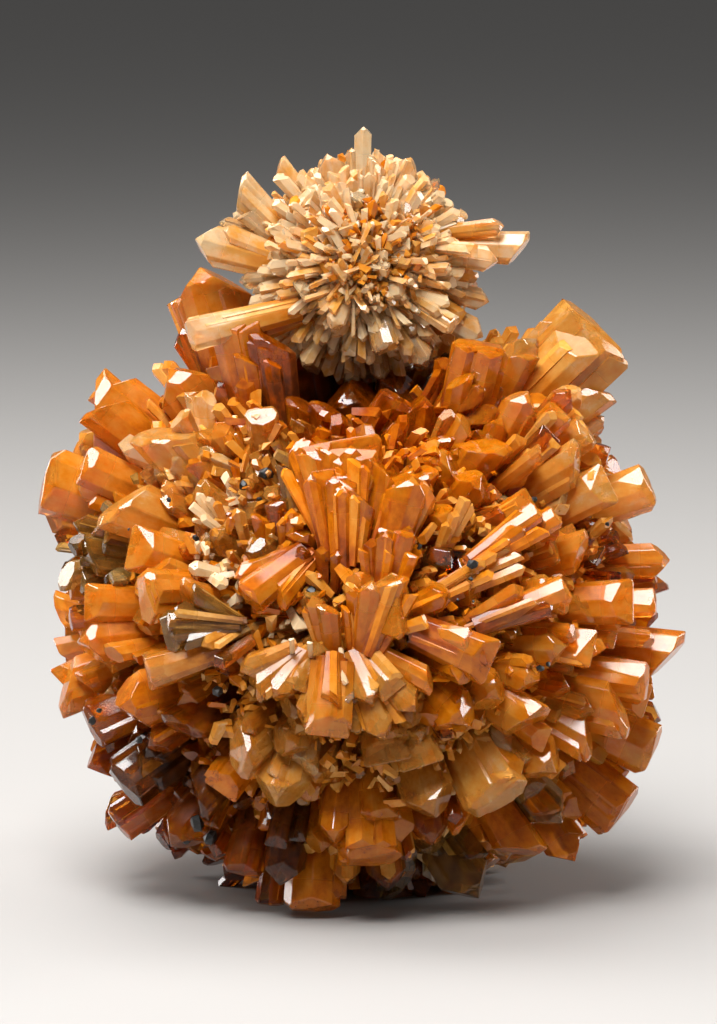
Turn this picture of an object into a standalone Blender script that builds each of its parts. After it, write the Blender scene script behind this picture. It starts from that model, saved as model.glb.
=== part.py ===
"""Creedite: a large ball of radiating orange crystals with a small pale ball grown on top, one natural piece.

Lengths are millimetres until a mesh is made, which is in metres. +Z is up and the front faces -Y. The origin
is the middle of the small flat spot that the specimen rests on. Places marked as seen are (right, up, toward
the viewer) from a ball's nucleus, for a viewer in front who looks down by LOOK_DOWN_DEG.
"""

import math
import random
from collections import namedtuple

import bmesh
import bpy
from mathutils import Matrix, Vector

MM = 0.001
LOOK_DOWN_DEG = 8.0
VIEW_DISTANCE = 600.0
VIEW_LEVEL = 42.8  # height of the point that the viewer looks at

# Driving dimensions of the two balls
LOWER_HEIGHT = 31.5  # nucleus of the large ball above the surface that it rests on
LOWER_CORE_RADIUS = 27.5  # solid heart from which the large crystals stand out
LOWER_CORE_TOP = 0.8  # height of the heart's upper half over its radius: it is hollow under the small ball
UPPER_OFFSET_SEEN = (0.4, 38.9, 5.5)  # nucleus of the small ball, from the large ball's
UPPER_CORE_RADIUS = 10.4
CORE_LUMP = 0.05  # unevenness of a heart, as a share of its radius
# Crystals toward the viewer don't spring from the nucleus, but from this share of their tip's nearness
FRONT_SPRING = 0.56
ROOT_SHARE = 0.36  # a crystal starts at this share of the way from where it springs to its tip
ROOT_TAPER = 0.72  # width at the root over width at the shoulder
PLAIN_WIDTH = 5.3  # a crystal narrower than this has four sides, and the two first faces of its tip

# The foot: stout crystals under the large ball, all cut off flat at the surface. Bearing, lean from straight
# down, width
FOOT_REACH = 37.0
FOOT = ((0, 0, 10.0), (24, 15, 8.5), (100, 17, 8.0), (172, 16, 8.5), (240, 18, 8.0), (290, 16, 8.0))
CUTTER_SIZE = 120.0

# Crystals that fill the spaces between those placed by hand
LOWER_FILL = dict(gap_deg=12.8, reach=(31.0, 35.6), width=(7.0, 10.0))
UPPER_FILL = dict(gap_deg=20.0, reach=(11.8, 13.6), width=(2.4, 3.6))
FILL_CANDIDATES = 900  # directions that are tried
UPPER_CLEARANCE = 7.0  # how near the small ball's nucleus a tip of the large ball may come
FRONT_CLEARANCE = 14.0  # the same for crystals that lean to the front, which end below the small ball
FRONT_LEAN = 0.1  # share of a direction toward the viewer above which it leans to the front
SHORTEN_STEP = 0.5
FILL_WANDER = 3.0  # how far a filling crystal's axis passes from the nucleus
FLATNESS = (0.55, 0.8)  # thickness of a crystal over its width
END_ON = 0.2  # sine of the angle to the viewer below which a crystal counts as seen end-on
ROLL_DEG = 14  # how far a crystal's broad side turns from the viewer
FACE_WANDER_DEG = (12, 4)  # how far a tip's face turns and tilts from its form
SEED = 41

# A tip is cut by flat faces: (heading in degrees, 0 right and 270 toward the viewer; slope in degrees; where
# the slope starts, in half widths from the axis)
TIP_FACES = {
    "roof": ((0, 48, 0.0), (180, 46, 0.0), (270, 34, 0.15)),
    "high_right": ((180, 36, -0.55), (0, 66, 0.55), (270, 30, 0.2)),
    "high_left": ((0, 36, -0.55), (180, 66, 0.55), (270, 30, 0.2)),
    "blunt": ((215, 11, 0.0), (0, 54, 0.5), (180, 56, 0.55), (270, 44, 0.45)),
    "chisel": ((270, 50, 0.0), (90, 48, 0.1), (0, 60, 0.5)),
    "spear": ((15, 66, 0.0), (165, 64, 0.0), (270, 60, 0.0)),
}

Blade = namedtuple("Blade", "right up reach width form root", defaults=((0.0, 0.0),))
# Places are from its nucleus. flatness is thickness over width, roll the turn of its broad side from the
# viewer, and a plain one has four sides
Crystal = namedtuple("Crystal", "nucleus root tip width flatness roll form plain")

# The large ball's crystals as seen: tip right and up of the nucleus, how far the tip is from the nucleus,
# width, the form of the tip, and where it springs from if that isn't the nucleus
CROWN_LEFT = (
    Blade(-18.2, 39.4, 42.9, 9.6, "roof", (-8, 6)),
    Blade(-20.8, 32.8, 38.8, 3.6, "high_right"),
    Blade(-14.0, 33.2, 38.2, 6.4, "blunt", (-8, 4)),
    Blade(-10.2, 32.0, 36.6, 5.2, "high_left", (-6, 2)),
    Blade(-31.6, 24.6, 39.8, 8.2, "high_right", (-4, 3)),
    Blade(-29.6, 26.2, 39.0, 5.4, "high_left", (0, 5)),
    Blade(-21.8, 27.8, 36.0, 6.6, "roof", (-5, 4)),
    Blade(-22.3, 28.6, 36.4, 2.0, "spear"),
    Blade(-23.6, 21.2, 36.0, 6.8, "high_left", (-6, 0)),
    Blade(-11.2, 22.9, 34.0, 3.8, "blunt", (-9, 5)),
    Blade(-16.6, 21.5, 33.0, 3.6, "spear"),
    Blade(-16.2, 26.2, 33.0, 3.0, "roof"),
)
CROWN_BACK = (
    Blade(-6.3, 24.4, 29.6, 5.0, "high_left", (-5, 2)),
    Blade(-3.0, 23.8, 29.2, 5.6, "high_left", (-3, 4)),
    Blade(4.8, 24.2, 29.8, 5.0, "blunt", (-7, 8)),
    Blade(7.6, 24.6, 30.8, 5.0, "roof", (5, 0)),
    Blade(4.0, 21.5, 31.0, 3.0, "spear", (4, 0)),
    Blade(9.9, 20.2, 32.5, 2.8, "high_right"),
    Blade(9.0, 17.8, 33.0, 3.2, "roof"),
)
CROWN_RIGHT = (
    Blade(14.2, 30.6, 37.4, 6.8, "blunt", (7, 2)),
    Blade(18.4, 30.2, 36.6, 5.6, "high_right", (4, 3)),
    Blade(27.7, 32.6, 42.9, 10.4, "blunt", (0, 6)),
    Blade(28.0, 26.0, 38.6, 5.6, "high_right", (0, 4)),
    Blade(16.4, 31.4, 35.6, 1.9, "spear"),
    Blade(18.1, 32.6, 37.4, 2.0, "spear"),
    Blade(20.4, 32.4, 38.4, 1.8, "spear"),
    Blade(19.5, 25.0, 36.8, 4.4, "roof", (6, 0)),
    Blade(24.4, 25.2, 38.4, 3.2, "roof", (4, 2)),
    Blade(23.4, 22.8, 37.0, 3.6, "blunt"),
)
LEFT_SIDE = (
    Blade(-36.2, 15.0, 39.2, 8.2, "blunt", (0, 3)),
    Blade(-31.8, 16.8, 37.2, 5.0, "blunt", (0, 2)),
    Blade(-28.8, 12.6, 36.0, 6.8, "high_left", (-2, 2)),
    Blade(-32.8, 10.0, 36.2, 3.0, "roof"),
    Blade(-32.4, 6.6, 36.0, 4.8, "high_right", (0, 2)),
    Blade(-35.0, 8.5, 36.0, 3.0, "spear"),
    Blade(-33.8, 5.2, 34.6, 3.0, "roof"),
    Blade(-26.4, 7.2, 36.0, 5.4, "chisel"),
    Blade(-24.8, 4.6, 35.6, 4.6, "high_left", (-2, -3)),
    Blade(-19.3, 4.6, 34.0, 2.4, "roof"),
    Blade(-33.2, 2.8, 34.2, 3.4, "blunt"),
    Blade(-33.2, -1.0, 34.6, 3.0, "blunt"),
    Blade(-31.5, 0.8, 36.0, 4.4, "chisel"),
    Blade(-24.8, 1.5, 37.0, 6.4, "blunt", (-3, 2)),
    Blade(-20.4, 1.5, 36.4, 4.4, "high_right", (0, -3)),
    Blade(-22.0, -2.6, 37.2, 4.8, "blunt", (-6, 0)),
    Blade(-32.3, -3.7, 36.4, 5.4, "roof"),
    Blade(-35.0, -9.6, 37.2, 6.4, "high_left", (0, 3)),
    Blade(-24.4, -7.2, 36.2, 4.4, "chisel"),
    Blade(-27.8, -11.2, 37.0, 6.8, "roof", (0, -3)),
)
LOWER_LEFT = (
    Blade(-31.0, -13.4, 36.2, 5.8, "blunt"),
    Blade(-31.2, -18.2, 37.4, 4.2, "roof", (0, -4)),
    Blade(-21.2, -14.2, 35.4, 5.2, "high_right"),
    Blade(-24.2, -15.8, 35.6, 3.8, "roof"),
    Blade(-27.2, -20.4, 37.4, 6.4, "blunt", (0, 0)),
    Blade(-27.8, -24.8, 38.0, 4.8, "blunt", (2, -4)),
    Blade(-21.6, -27.2, 37.0, 5.4, "roof"),
    Blade(-18.2, -26.2, 34.6, 3.6, "blunt"),
    Blade(-19.2, -22.8, 36.0, 5.0, "high_left"),
    Blade(-13.5, -30.4, 36.4, 4.6, "blunt", (-6, 0)),
    Blade(-10.3, -34.0, 37.0, 3.4, "blunt", (-6, 0)),
    Blade(-9.0, -31.8, 37.6, 4.8, "spear", (-3, 0)),
    Blade(-5.4, -34.6, 38.0, 6.4, "blunt", (-4, 0)),
    Blade(-1.6, -31.8, 35.4, 3.4, "roof"),
    Blade(-9.5, -22.4, 36.4, 6.6, "roof", (-4, 0)),
    Blade(-14.6, -17.3, 36.2, 5.8, "high_left", (2, -2)),
    Blade(-5.0, -19.8, 34.0, 3.8, "roof"),
    Blade(-16.0, -21.0, 34.6, 4.4, "chisel"),
)
LOWER_RIGHT = (
    Blade(1.4, -29.0, 36.6, 7.2, "blunt"),
    Blade(8.5, -27.0, 35.8, 4.4, "roof", (4, 0)),
    Blade(3.4, -32.3, 36.0, 4.6, "roof"),
    Blade(13.8, -33.2, 37.6, 6.2, "roof", (-2, -8)),
    Blade(19.4, -28.8, 37.2, 5.4, "high_left", (2, 0)),
    Blade(24.9, -29.0, 38.4, 4.8, "roof", (6, 0)),
    Blade(23.4, -24.6, 36.4, 5.2, "roof"),
    Blade(30.4, -23.6, 39.0, 7.2, "blunt", (0, 2)),
    Blade(34.0, -16.4, 38.4, 6.4, "blunt"),
    Blade(34.8, -12.8, 37.2, 3.4, "roof"),
    Blade(31.4, -12.0, 38.2, 6.0, "high_right", (0, -4)),
    Blade(33.2, -8.6, 38.2, 5.0, "blunt", (0, -3)),
    Blade(16.2, -22.2, 36.8, 7.8, "blunt", (4, 0)),
    Blade(12.4, -13.4, 36.4, 5.8, "roof"),
    Blade(8.8, -23.8, 36.2, 6.4, "roof", (1, 0)),
    Blade(7.4, -18.0, 35.4, 5.2, "chisel"),
    Blade(3.4, -17.6, 35.2, 5.4, "chisel"),
    Blade(10.7, -14.8, 35.2, 2.4, "spear"),
    Blade(12.6, -25.2, 34.4, 4.0, "high_right"),
)
RIGHT_SIDE = (
    Blade(22.3, 20.2, 36.2, 3.0, "chisel"),
    Blade(26.4, 20.6, 36.6, 4.2, "blunt", (0, 3)),
    Blade(29.0, 18.6, 36.4, 3.2, "roof", (0, 3)),
    Blade(26.0, 17.6, 37.0, 4.8, "high_left", (0, 2)),
    Blade(33.6, 14.2, 37.6, 5.6, "blunt", (0, 3)),
    Blade(28.9, 14.6, 37.0, 5.0, "chisel"),
    Blade(29.2, 9.6, 33.6, 3.0, "roof"),
    Blade(35.8, 5.6, 37.0, 4.2, "roof", (0, 5)),
    Blade(34.3, 3.4, 35.0, 3.0, "blunt"),
    Blade(20.4, 11.8, 36.4, 5.0, "chisel"),
    Blade(23.4, 10.6, 35.8, 4.2, "spear"),
    Blade(17.6, 10.8, 34.0, 3.0, "roof", (0, 8)),
    Blade(12.6, 12.6, 33.6, 2.4, "spear"),
    Blade(18.4, 7.2, 33.8, 2.4, "spear"),
    Blade(26.6, 7.0, 35.0, 4.6, "high_left"),
    Blade(31.6, 0.9, 37.4, 5.2, "chisel"),
    Blade(34.2, 0.8, 36.4, 3.4, "blunt"),
    Blade(23.8, 1.8, 37.0, 4.6, "high_right", (0, 1)),
    Blade(37.2, -5.4, 38.8, 5.8, "high_left", (0, 0)),
    Blade(27.0, -4.6, 37.8, 4.4, "chisel"),
    Blade(24.0, -4.2, 36.8, 4.6, "roof", (0, -4)),
)
FACE = (
    Blade(-2.4, 19.3, 34.6, 9.8, "chisel"),
    Blade(2.6, 17.4, 34.0, 5.4, "high_left"),
    Blade(-1.6, 15.2, 35.4, 6.4, "chisel"),
    Blade(-8.8, 14.8, 33.4, 4.6, "high_right"),
    Blade(6.0, 15.0, 35.6, 6.2, "roof"),
    Blade(7.4, 16.4, 33.6, 4.0, "high_right"),
    Blade(4.6, 8.6, 35.4, 4.6, "chisel"),
    Blade(-12.6, 7.4, 33.4, 4.4, "roof"),
    Blade(-13.8, 12.2, 32.2, 3.8, "spear"),
    Blade(-5.6, 1.4, 34.0, 4.6, "roof"),
    Blade(-10.4, 1.6, 32.4, 4.4, "high_left"),
    Blade(0.2, 3.0, 35.2, 4.0, "roof"),
    Blade(4.4, 0.4, 37.0, 7.4, "chisel"),
    Blade(9.8, 1.6, 35.4, 3.8, "roof"),
    Blade(10.6, 6.6, 34.2, 3.8, "spear"),
    Blade(13.4, -5.4, 37.0, 7.2, "high_right"),
    Blade(17.0, -1.0, 34.6, 4.4, "roof"),
    Blade(-3.2, -13.2, 36.6, 6.8, "chisel"),
    Blade(-11.6, -8.6, 35.4, 5.8, "roof"),
    Blade(-16.4, -7.0, 34.4, 3.0, "spear"),
    Blade(-8.6, -11.6, 34.2, 3.6, "high_left"),
    Blade(-5.2, -5.6, 34.4, 4.8, "roof"),
    Blade(2.0, -8.4, 34.2, 4.6, "roof"),
    Blade(7.4, -9.2, 34.2, 4.0, "spear"),
    Blade(-6.2, 9.8, 32.5, 5.0, "high_left"),
    Blade(-9.4, 5.6, 32.0, 5.6, "chisel"),
    Blade(-16.8, 9.2, 33.2, 4.4, "roof"),
    Blade(-19.0, 13.0, 33.6, 5.0, "high_right"),
    Blade(-12.2, 16.6, 32.0, 4.4, "roof"),
    Blade(1.2, 10.8, 33.4, 4.4, "high_right"),
    Blade(-1.8, 6.6, 33.0, 4.2, "roof"),
    Blade(11.4, 17.2, 33.0, 4.8, "high_left"),
    Blade(10.6, 11.4, 34.0, 4.4, "roof"),
    Blade(15.6, 19.6, 34.4, 5.2, "high_right"),
    Blade(14.2, 15.4, 34.0, 4.4, "roof"),
    Blade(14.2, 2.6, 34.6, 4.4, "high_left"),
    Blade(-1.2, -3.2, 34.0, 4.4, "high_right"),
    Blade(16.4, -10.4, 35.0, 5.0, "roof"),
    Blade(6.2, -13.2, 35.0, 4.4, "roof"),
    Blade(-8.6, -16.6, 35.0, 4.8, "roof"),
    Blade(20.6, -13.6, 36.2, 5.4, "high_left"),
    Blade(22.8, -18.8, 36.8, 5.8, "roof"),
    Blade(27.4, -15.4, 36.8, 5.0, "high_right"),
    Blade(20.6, -8.2, 35.6, 4.4, "roof"),
)

# The small ball's crystals, from its own nucleus
UPPER_SPRAY = (
    Blade(0.2, 16.2, 16.4, 2.1, "roof"),
    Blade(-1.2, 13.8, 14.0, 2.4, "roof"),
    Blade(-4.0, 13.1, 14.2, 3.2, "roof"),
    Blade(1.9, 12.6, 13.4, 2.6, "high_left"),
    Blade(5.6, 12.7, 14.0, 2.6, "roof"),
    Blade(7.6, 10.4, 13.2, 1.8, "spear"),
    Blade(-9.8, 12.1, 15.6, 2.6, "high_right"),
    Blade(-14.5, 9.7, 17.6, 4.2, "high_right", (-5, 0)),
    Blade(-19.0, 3.4, 19.6, 4.4, "roof", (0, -2)),
    Blade(-16.3, 5.3, 17.2, 2.2, "roof"),
    Blade(19.0, 2.3, 19.4, 4.0, "high_left", (0, 3)),
    Blade(15.5, 0.9, 16.8, 3.0, "roof", (0, 3)),
    Blade(14.5, -3.8, 15.4, 2.6, "roof"),
    Blade(13.8, -7.8, 16.2, 3.2, "roof"),
    Blade(7.5, -11.3, 15.2, 3.2, "roof"),
    Blade(2.8, -9.3, 14.6, 3.2, "blunt"),
    Blade(2.3, -12.9, 14.0, 2.4, "roof"),
    Blade(-1.2, -13.3, 13.8, 1.8, "spear"),
    Blade(-4.2, -12.3, 13.6, 1.8, "spear"),
    Blade(-19.8, -7.6, 23.6, 4.0, "blunt", (0, -3)),
    Blade(-13.3, -4.3, 14.8, 1.9, "high_left"),
    Blade(-14.0, -1.5, 14.6, 2.2, "roof"),
    Blade(-10.0, -11.6, 16.0, 2.0, "roof"),
    Blade(-6.8, -11.1, 14.4, 2.0, "roof"),
    Blade(9.4, 8.8, 13.4, 1.6, "spear"),
    Blade(11.2, 6.6, 13.6, 1.6, "spear"),
    Blade(12.2, 5.0, 13.6, 1.6, "spear"),
    Blade(10.6, -6.6, 15.4, 2.4, "blunt"),
    Blade(-3.4, -6.8, 14.4, 2.4, "roof"),
)


def seen(right, up, toward):
    """A step given as seen by the viewer, as a vector in the part's own axes."""
    tilt = math.radians(LOOK_DOWN_DEG)
    back = up * math.sin(tilt) - toward * math.cos(tilt)
    rise = up * math.cos(tilt) + toward * math.sin(tilt)
    return Vector((right, back, rise))


def on_line_of_sight(nucleus, right, up, reach):
    """From the nucleus to the near point at this reach from it that the viewer sees at a place beside it."""
    eye = Vector((0, 0, VIEW_LEVEL)) + seen(0, 0, VIEW_DISTANCE)
    sight = (nucleus + seen(right, up, 0) - eye).normalized()
    passing = eye + sight * sight.dot(nucleus - eye) - nucleus
    return passing - sight * math.sqrt(max(0.0, reach**2 - passing.length_squared))


def standing(axis):
    """Rotation that stands a crystal along the axis, with its broad side to the viewer."""
    across = axis.cross(seen(0, 0, 1))
    if across.length < END_ON:
        across = Vector((1, 0, 0))
    across = (across - axis * across.dot(axis)).normalized()
    return Matrix((across, axis.cross(across), axis)).transposed()


def cut_tip(shape, length, half_width, half_depth, faces, wander):
    """Cuts a prism's upper end with the flat faces of one tip form."""
    for heading, slope, start in faces:
        turn = math.radians(heading + wander.uniform(-1, 1) * FACE_WANDER_DEG[0])
        lean = math.radians(slope + wander.uniform(-1, 1) * FACE_WANDER_DEG[1])
        side = Vector((math.cos(turn), math.sin(turn), 0))
        where = Vector((side.x * half_width * start, side.y * half_depth * start, length))
        normal = side * math.sin(lean) + Vector((0, 0, math.cos(lean)))
        everything = shape.verts[:] + shape.edges[:] + shape.faces[:]
        bmesh.ops.bisect_plane(shape, geom=everything, plane_co=where, plane_no=normal, clear_outer=True)
        bmesh.ops.holes_fill(shape, edges=[edge for edge in shape.edges if edge.is_boundary])


def crystal_mesh(crystal, wander):
    """One flattened prism from well inside its ball to its tip, its end cut to the given form."""
    run = crystal.tip - crystal.root
    length = run.length * (1 - ROOT_SHARE)
    half_width = crystal.width / 2
    half_depth = half_width * crystal.flatness
    shape = bmesh.new()
    sides = 4 if crystal.plain else 6
    root_width = half_width * ROOT_TAPER
    bmesh.ops.create_cone(
        shape, cap_ends=True, segments=sides, radius1=root_width, radius2=half_width, depth=length
    )
    flatten = Matrix.Diagonal((1, crystal.flatness, 1, 1))
    bmesh.ops.transform(shape, matrix=Matrix.Translation((0, 0, length / 2)) @ flatten, verts=shape.verts)
    faces = TIP_FACES[crystal.form]
    if crystal.plain:
        faces = faces[:2]
    cut_tip(shape, length, half_width, half_depth, faces, wander)
    roll = Matrix.Rotation(math.radians(crystal.roll), 3, "Z")
    start = crystal.nucleus + crystal.root + run * ROOT_SHARE
    place = Matrix.Translation(start) @ (standing(run.normalized()) @ roll).to_4x4()
    bmesh.ops.transform(shape, matrix=Matrix.Diagonal((MM, MM, MM, 1)) @ place, verts=shape.verts)
    mesh = bpy.data.meshes.new("crystal")
    shape.to_mesh(mesh)
    shape.free()
    return mesh


def spread_evenly(count):
    """Directions spread evenly over a sphere along a golden spiral."""
    golden_angle = math.pi * (3 - math.sqrt(5))
    for i in range(count):
        height = 1 - 2 * (i + 0.5) / count
        level = math.sqrt(1 - height * height)
        yield Vector((level * math.cos(i * golden_angle), level * math.sin(i * golden_angle), height))


def grown(nucleus, root, tip, width, form, plain, wander):
    """A crystal whose thickness and turn are left to chance."""
    flatness = wander.uniform(*FLATNESS)
    roll = wander.uniform(-ROLL_DEG, ROLL_DEG)
    return Crystal(nucleus, root, tip, width, flatness, roll, form, plain)


def placed(nucleus, blades, wander):
    """The crystals that are given as seen."""
    toward_viewer = seen(0, 0, 1)
    for blade in blades:
        tip = on_line_of_sight(nucleus, blade.right, blade.up, blade.reach)
        root = seen(*blade.root, FRONT_SPRING * tip.dot(toward_viewer))
        yield grown(nucleus, root, tip, blade.width, blade.form, blade.width < PLAIN_WIDTH, wander)


def filling(nucleus, fill, taken, shorten, wander):
    """Crystals in the widest gaps between the directions in taken, until no gap is wide enough."""
    candidates = [(direction, max(map(direction.dot, taken))) for direction in spread_evenly(FILL_CANDIDATES)]
    nearest = math.cos(math.radians(fill["gap_deg"]))
    forms = sorted(TIP_FACES)
    while candidates:
        direction = min(candidates, key=lambda candidate: candidate[1])[0]
        candidates = [(other, max(near, other.dot(direction))) for other, near in candidates]
        candidates = [(other, near) for other, near in candidates if near < nearest]
        reach = shorten(direction, wander.uniform(*fill["reach"]))
        width = wander.uniform(*fill["width"])
        off_centre = wander.uniform(-FILL_WANDER, FILL_WANDER) * width / LOWER_FILL["width"][1]
        root = direction.orthogonal().normalized() * off_centre
        yield grown(nucleus, root, direction * reach, width, wander.choice(forms), True, wander)


def foot(nucleus, wander):
    """Stout crystals that point down, past the surface that the specimen rests on."""
    down = Vector((0, 0, -1))
    for bearing, lean, width in FOOT:
        side = Matrix.Rotation(math.radians(bearing), 3, "Z") @ Vector((1, 0, 0))
        outward = down * math.cos(math.radians(lean)) + side * math.sin(math.radians(lean))
        yield grown(nucleus, Vector(), outward * FOOT_REACH, width, "blunt", False, wander)


def all_crystals(lower, upper):
    """All crystals of both balls. The large ball's that point at the small one end in it or below it."""
    wander = random.Random(SEED)
    lower_blades = CROWN_LEFT + CROWN_BACK + CROWN_RIGHT + LEFT_SIDE + LOWER_LEFT
    lower_blades += LOWER_RIGHT + RIGHT_SIDE + FACE

    def end_near_upper(direction, reach):
        leans_forward = direction.dot(seen(0, 0, 1)) > FRONT_LEAN
        clearance = FRONT_CLEARANCE if leans_forward else UPPER_CLEARANCE
        while (lower + direction * reach - upper).length < clearance:
            reach -= SHORTEN_STEP
        return reach

    crystals = list(placed(lower, lower_blades, wander)) + list(foot(lower, wander))
    taken = [crystal.tip.normalized() for crystal in crystals]
    crystals += filling(lower, LOWER_FILL, taken, end_near_upper, wander)

    spray = list(placed(upper, UPPER_SPRAY, wander))
    taken = [crystal.tip.normalized() for crystal in spray]
    spray += filling(upper, UPPER_FILL, taken, lambda direction, reach: reach, wander)
    return crystals + spray


def add_core(name, centre, radius, top, wander, collection):
    """The uneven heart of a ball. Its upper half is as high as top times its radius."""
    shape = bmesh.new()
    bmesh.ops.create_icosphere(shape, subdivisions=2, radius=radius * MM)
    for vert in shape.verts:
        vert.co *= 1 + wander.uniform(-CORE_LUMP, CORE_LUMP)
        vert.co.z *= top if vert.co.z > 0 else 1
    bmesh.ops.translate(shape, vec=centre * MM, verts=shape.verts)
    mesh = bpy.data.meshes.new(name)
    shape.to_mesh(mesh)
    shape.free()
    core = bpy.data.objects.new(name, mesh)
    collection.objects.link(core)
    return core


def boolean(target, operation, collection):
    """Joins or cuts the target with all of a collection. EXACT leaves open edges where many crystals meet."""
    modifier = target.modifiers.new(operation.lower(), "BOOLEAN")
    modifier.operation = operation
    modifier.operand_type = "COLLECTION"
    modifier.collection = collection
    modifier.solver = "MANIFOLD"


def new_collection(name):
    collection = bpy.data.collections.new(name)
    bpy.context.scene.collection.children.link(collection)
    return collection


def as_guide(obj):
    obj.hide_render = True
    obj.display_type = "WIRE"


def creedite_material():
    """Translucent orange mineral with glassy faces."""
    material = bpy.data.materials.new("orange_creedite")
    material.use_nodes = True
    surface = material.node_tree.nodes["Principled BSDF"]
    surface.inputs["Base Color"].default_value = (0.72, 0.25, 0.045, 1)
    surface.inputs["Roughness"].default_value = 0.15
    surface.inputs["Metallic"].default_value = 0.0
    surface.inputs["IOR"].default_value = 1.46
    return material


def main():
    for obj in list(bpy.data.objects):
        bpy.data.objects.remove(obj)
    part = new_collection("creedite")
    growth = new_collection("crystals_to_join")
    floor = new_collection("cutters")

    lower = Vector((0, 0, LOWER_HEIGHT))
    upper = lower + seen(*UPPER_OFFSET_SEEN)
    lumps = random.Random(SEED)
    cluster = add_core("creedite_cluster", lower, LOWER_CORE_RADIUS, LOWER_CORE_TOP, lumps, part)
    as_guide(add_core("upper_core", upper, UPPER_CORE_RADIUS, 1.0, lumps, growth))
    for number, crystal in enumerate(all_crystals(lower, upper)):
        guide = bpy.data.objects.new("crystal", crystal_mesh(crystal, random.Random(number)))
        growth.objects.link(guide)
        as_guide(guide)

    bpy.ops.mesh.primitive_cube_add(size=CUTTER_SIZE * MM, location=(0, 0, -CUTTER_SIZE * MM / 2))
    slab = bpy.context.object
    slab.name = "floor_cutter"
    for collection in list(slab.users_collection):
        collection.objects.unlink(slab)
    floor.objects.link(slab)
    as_guide(slab)

    boolean(cluster, "UNION", growth)
    boolean(cluster, "DIFFERENCE", floor)
    cluster.data.materials.append(creedite_material())


main()
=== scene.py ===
"""The creedite as it looks: a large ball of orange crystals, a small pale ball on it, and fine ones between.

Lengths are millimetres until a mesh is made, which is in metres. Places marked as seen are (right, up,
toward the viewer) from a ball's nucleus, for a viewer in front who looks down by LOOK_DOWN_DEG.
"""

import math
import random
from collections import namedtuple

import bmesh
import bpy
import numpy as np
from mathutils import Matrix, Vector


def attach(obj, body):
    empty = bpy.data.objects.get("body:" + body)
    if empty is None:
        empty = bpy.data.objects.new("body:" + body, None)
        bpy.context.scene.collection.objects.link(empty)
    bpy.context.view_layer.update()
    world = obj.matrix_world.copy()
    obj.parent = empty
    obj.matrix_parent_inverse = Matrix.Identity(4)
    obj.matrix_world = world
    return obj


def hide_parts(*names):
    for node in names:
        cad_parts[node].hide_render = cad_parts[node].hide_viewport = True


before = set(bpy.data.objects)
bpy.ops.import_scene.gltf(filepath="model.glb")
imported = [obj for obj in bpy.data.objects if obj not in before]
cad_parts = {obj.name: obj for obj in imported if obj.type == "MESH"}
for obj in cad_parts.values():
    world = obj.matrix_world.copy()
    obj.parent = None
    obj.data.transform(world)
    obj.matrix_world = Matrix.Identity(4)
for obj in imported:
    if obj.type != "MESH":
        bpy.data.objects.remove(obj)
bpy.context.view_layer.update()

MM = 0.001
LOOK_DOWN_DEG = 8.0
VIEW_DISTANCE = 600.0
VIEW_LEVEL = 42.8
SEED = 41

# The two balls, as in the solid
LOWER_HEIGHT = 31.5
UPPER_OFFSET_SEEN = (0.4, 38.9, 5.5)
FRONT_SPRING = 0.56  # how far toward the viewer the near crystals spring from
ROOT_SHARE = 0.36  # of a crystal's length, hidden in the ball
ROOT_TAPER = 0.72
FOOT_REACH = 37.0
FOOT = ((0, 0, 10.0), (24, 15, 8.5), (100, 17, 8.0), (172, 16, 8.5), (240, 18, 8.0), (290, 16, 8.0))
LOWER_FILL = dict(gap_deg=12.8, reach=(31.0, 35.6), width=(7.0, 10.0))
UPPER_FILL = dict(gap_deg=20.0, reach=(11.8, 13.6), width=(2.4, 3.6))
FILL_CANDIDATES = 900
FILL_WANDER = 3.0
UPPER_CLEARANCE = 7.0
FRONT_CLEARANCE = 14.0
FRONT_LEAN = 0.1
SHORTEN_STEP = 0.5
FLATNESS = (0.55, 0.8)
END_ON = 0.2  # below this, a crystal points at the viewer and has no broad side to turn
ROLL_DEG = 14

# A tip is cut by flat faces: (heading in degrees, 0 right and 270 toward the viewer; slope in degrees; where
# the slope starts, in half widths from the axis)
TIP_FACES = {
    "roof": ((0, 48, 0.0), (180, 46, 0.0), (270, 34, 0.15), (90, 38, 0.3)),
    "high_right": ((180, 36, -0.55), (0, 66, 0.55), (270, 30, 0.2), (90, 34, 0.4)),
    "high_left": ((0, 36, -0.55), (180, 66, 0.55), (270, 30, 0.2), (90, 34, 0.4)),
    "blunt": ((215, 11, 0.0), (0, 54, 0.5), (180, 56, 0.55), (270, 44, 0.45), (90, 50, 0.5)),
    "chisel": ((270, 50, 0.0), (90, 48, 0.1), (0, 60, 0.5), (180, 58, 0.55)),
    "spear": ((15, 66, 0.0), (165, 64, 0.0), (270, 60, 0.0)),
}

# Colour of a crystal: tone from dark to pale, warmth from olive to orange, clearness from milky to glassy
LOOKS = {
    "o": (0.53, 0.96, 0.48),  # orange
    "d": (0.40, 1.00, 0.45),  # deep orange
    "p": (0.68, 0.85, 0.50),  # pale orange
    "y": (0.54, 0.74, 0.80),  # clear honey
    "t": (0.50, 0.56, 0.50),  # tan
    "k": (0.42, 0.15, 0.65),  # grey khaki
    "a": (0.24, 0.85, 0.60),  # dark amber
    "b": (0.10, 0.50, 0.60),  # brown black
    "u": (0.86, 0.84, 0.48),  # pale peach
    "c": (0.94, 0.66, 0.70),  # nearly colourless
    "g": (0.50, 0.95, 0.35),  # granular orange
    "v": (0.82, 0.64, 0.66),  # olive glass
}

Blade = namedtuple("Blade", "right up reach width form look root", defaults=((0.0, 0.0),))
Crystal = namedtuple("Crystal", "nucleus root tip width flatness roll form look")

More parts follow.
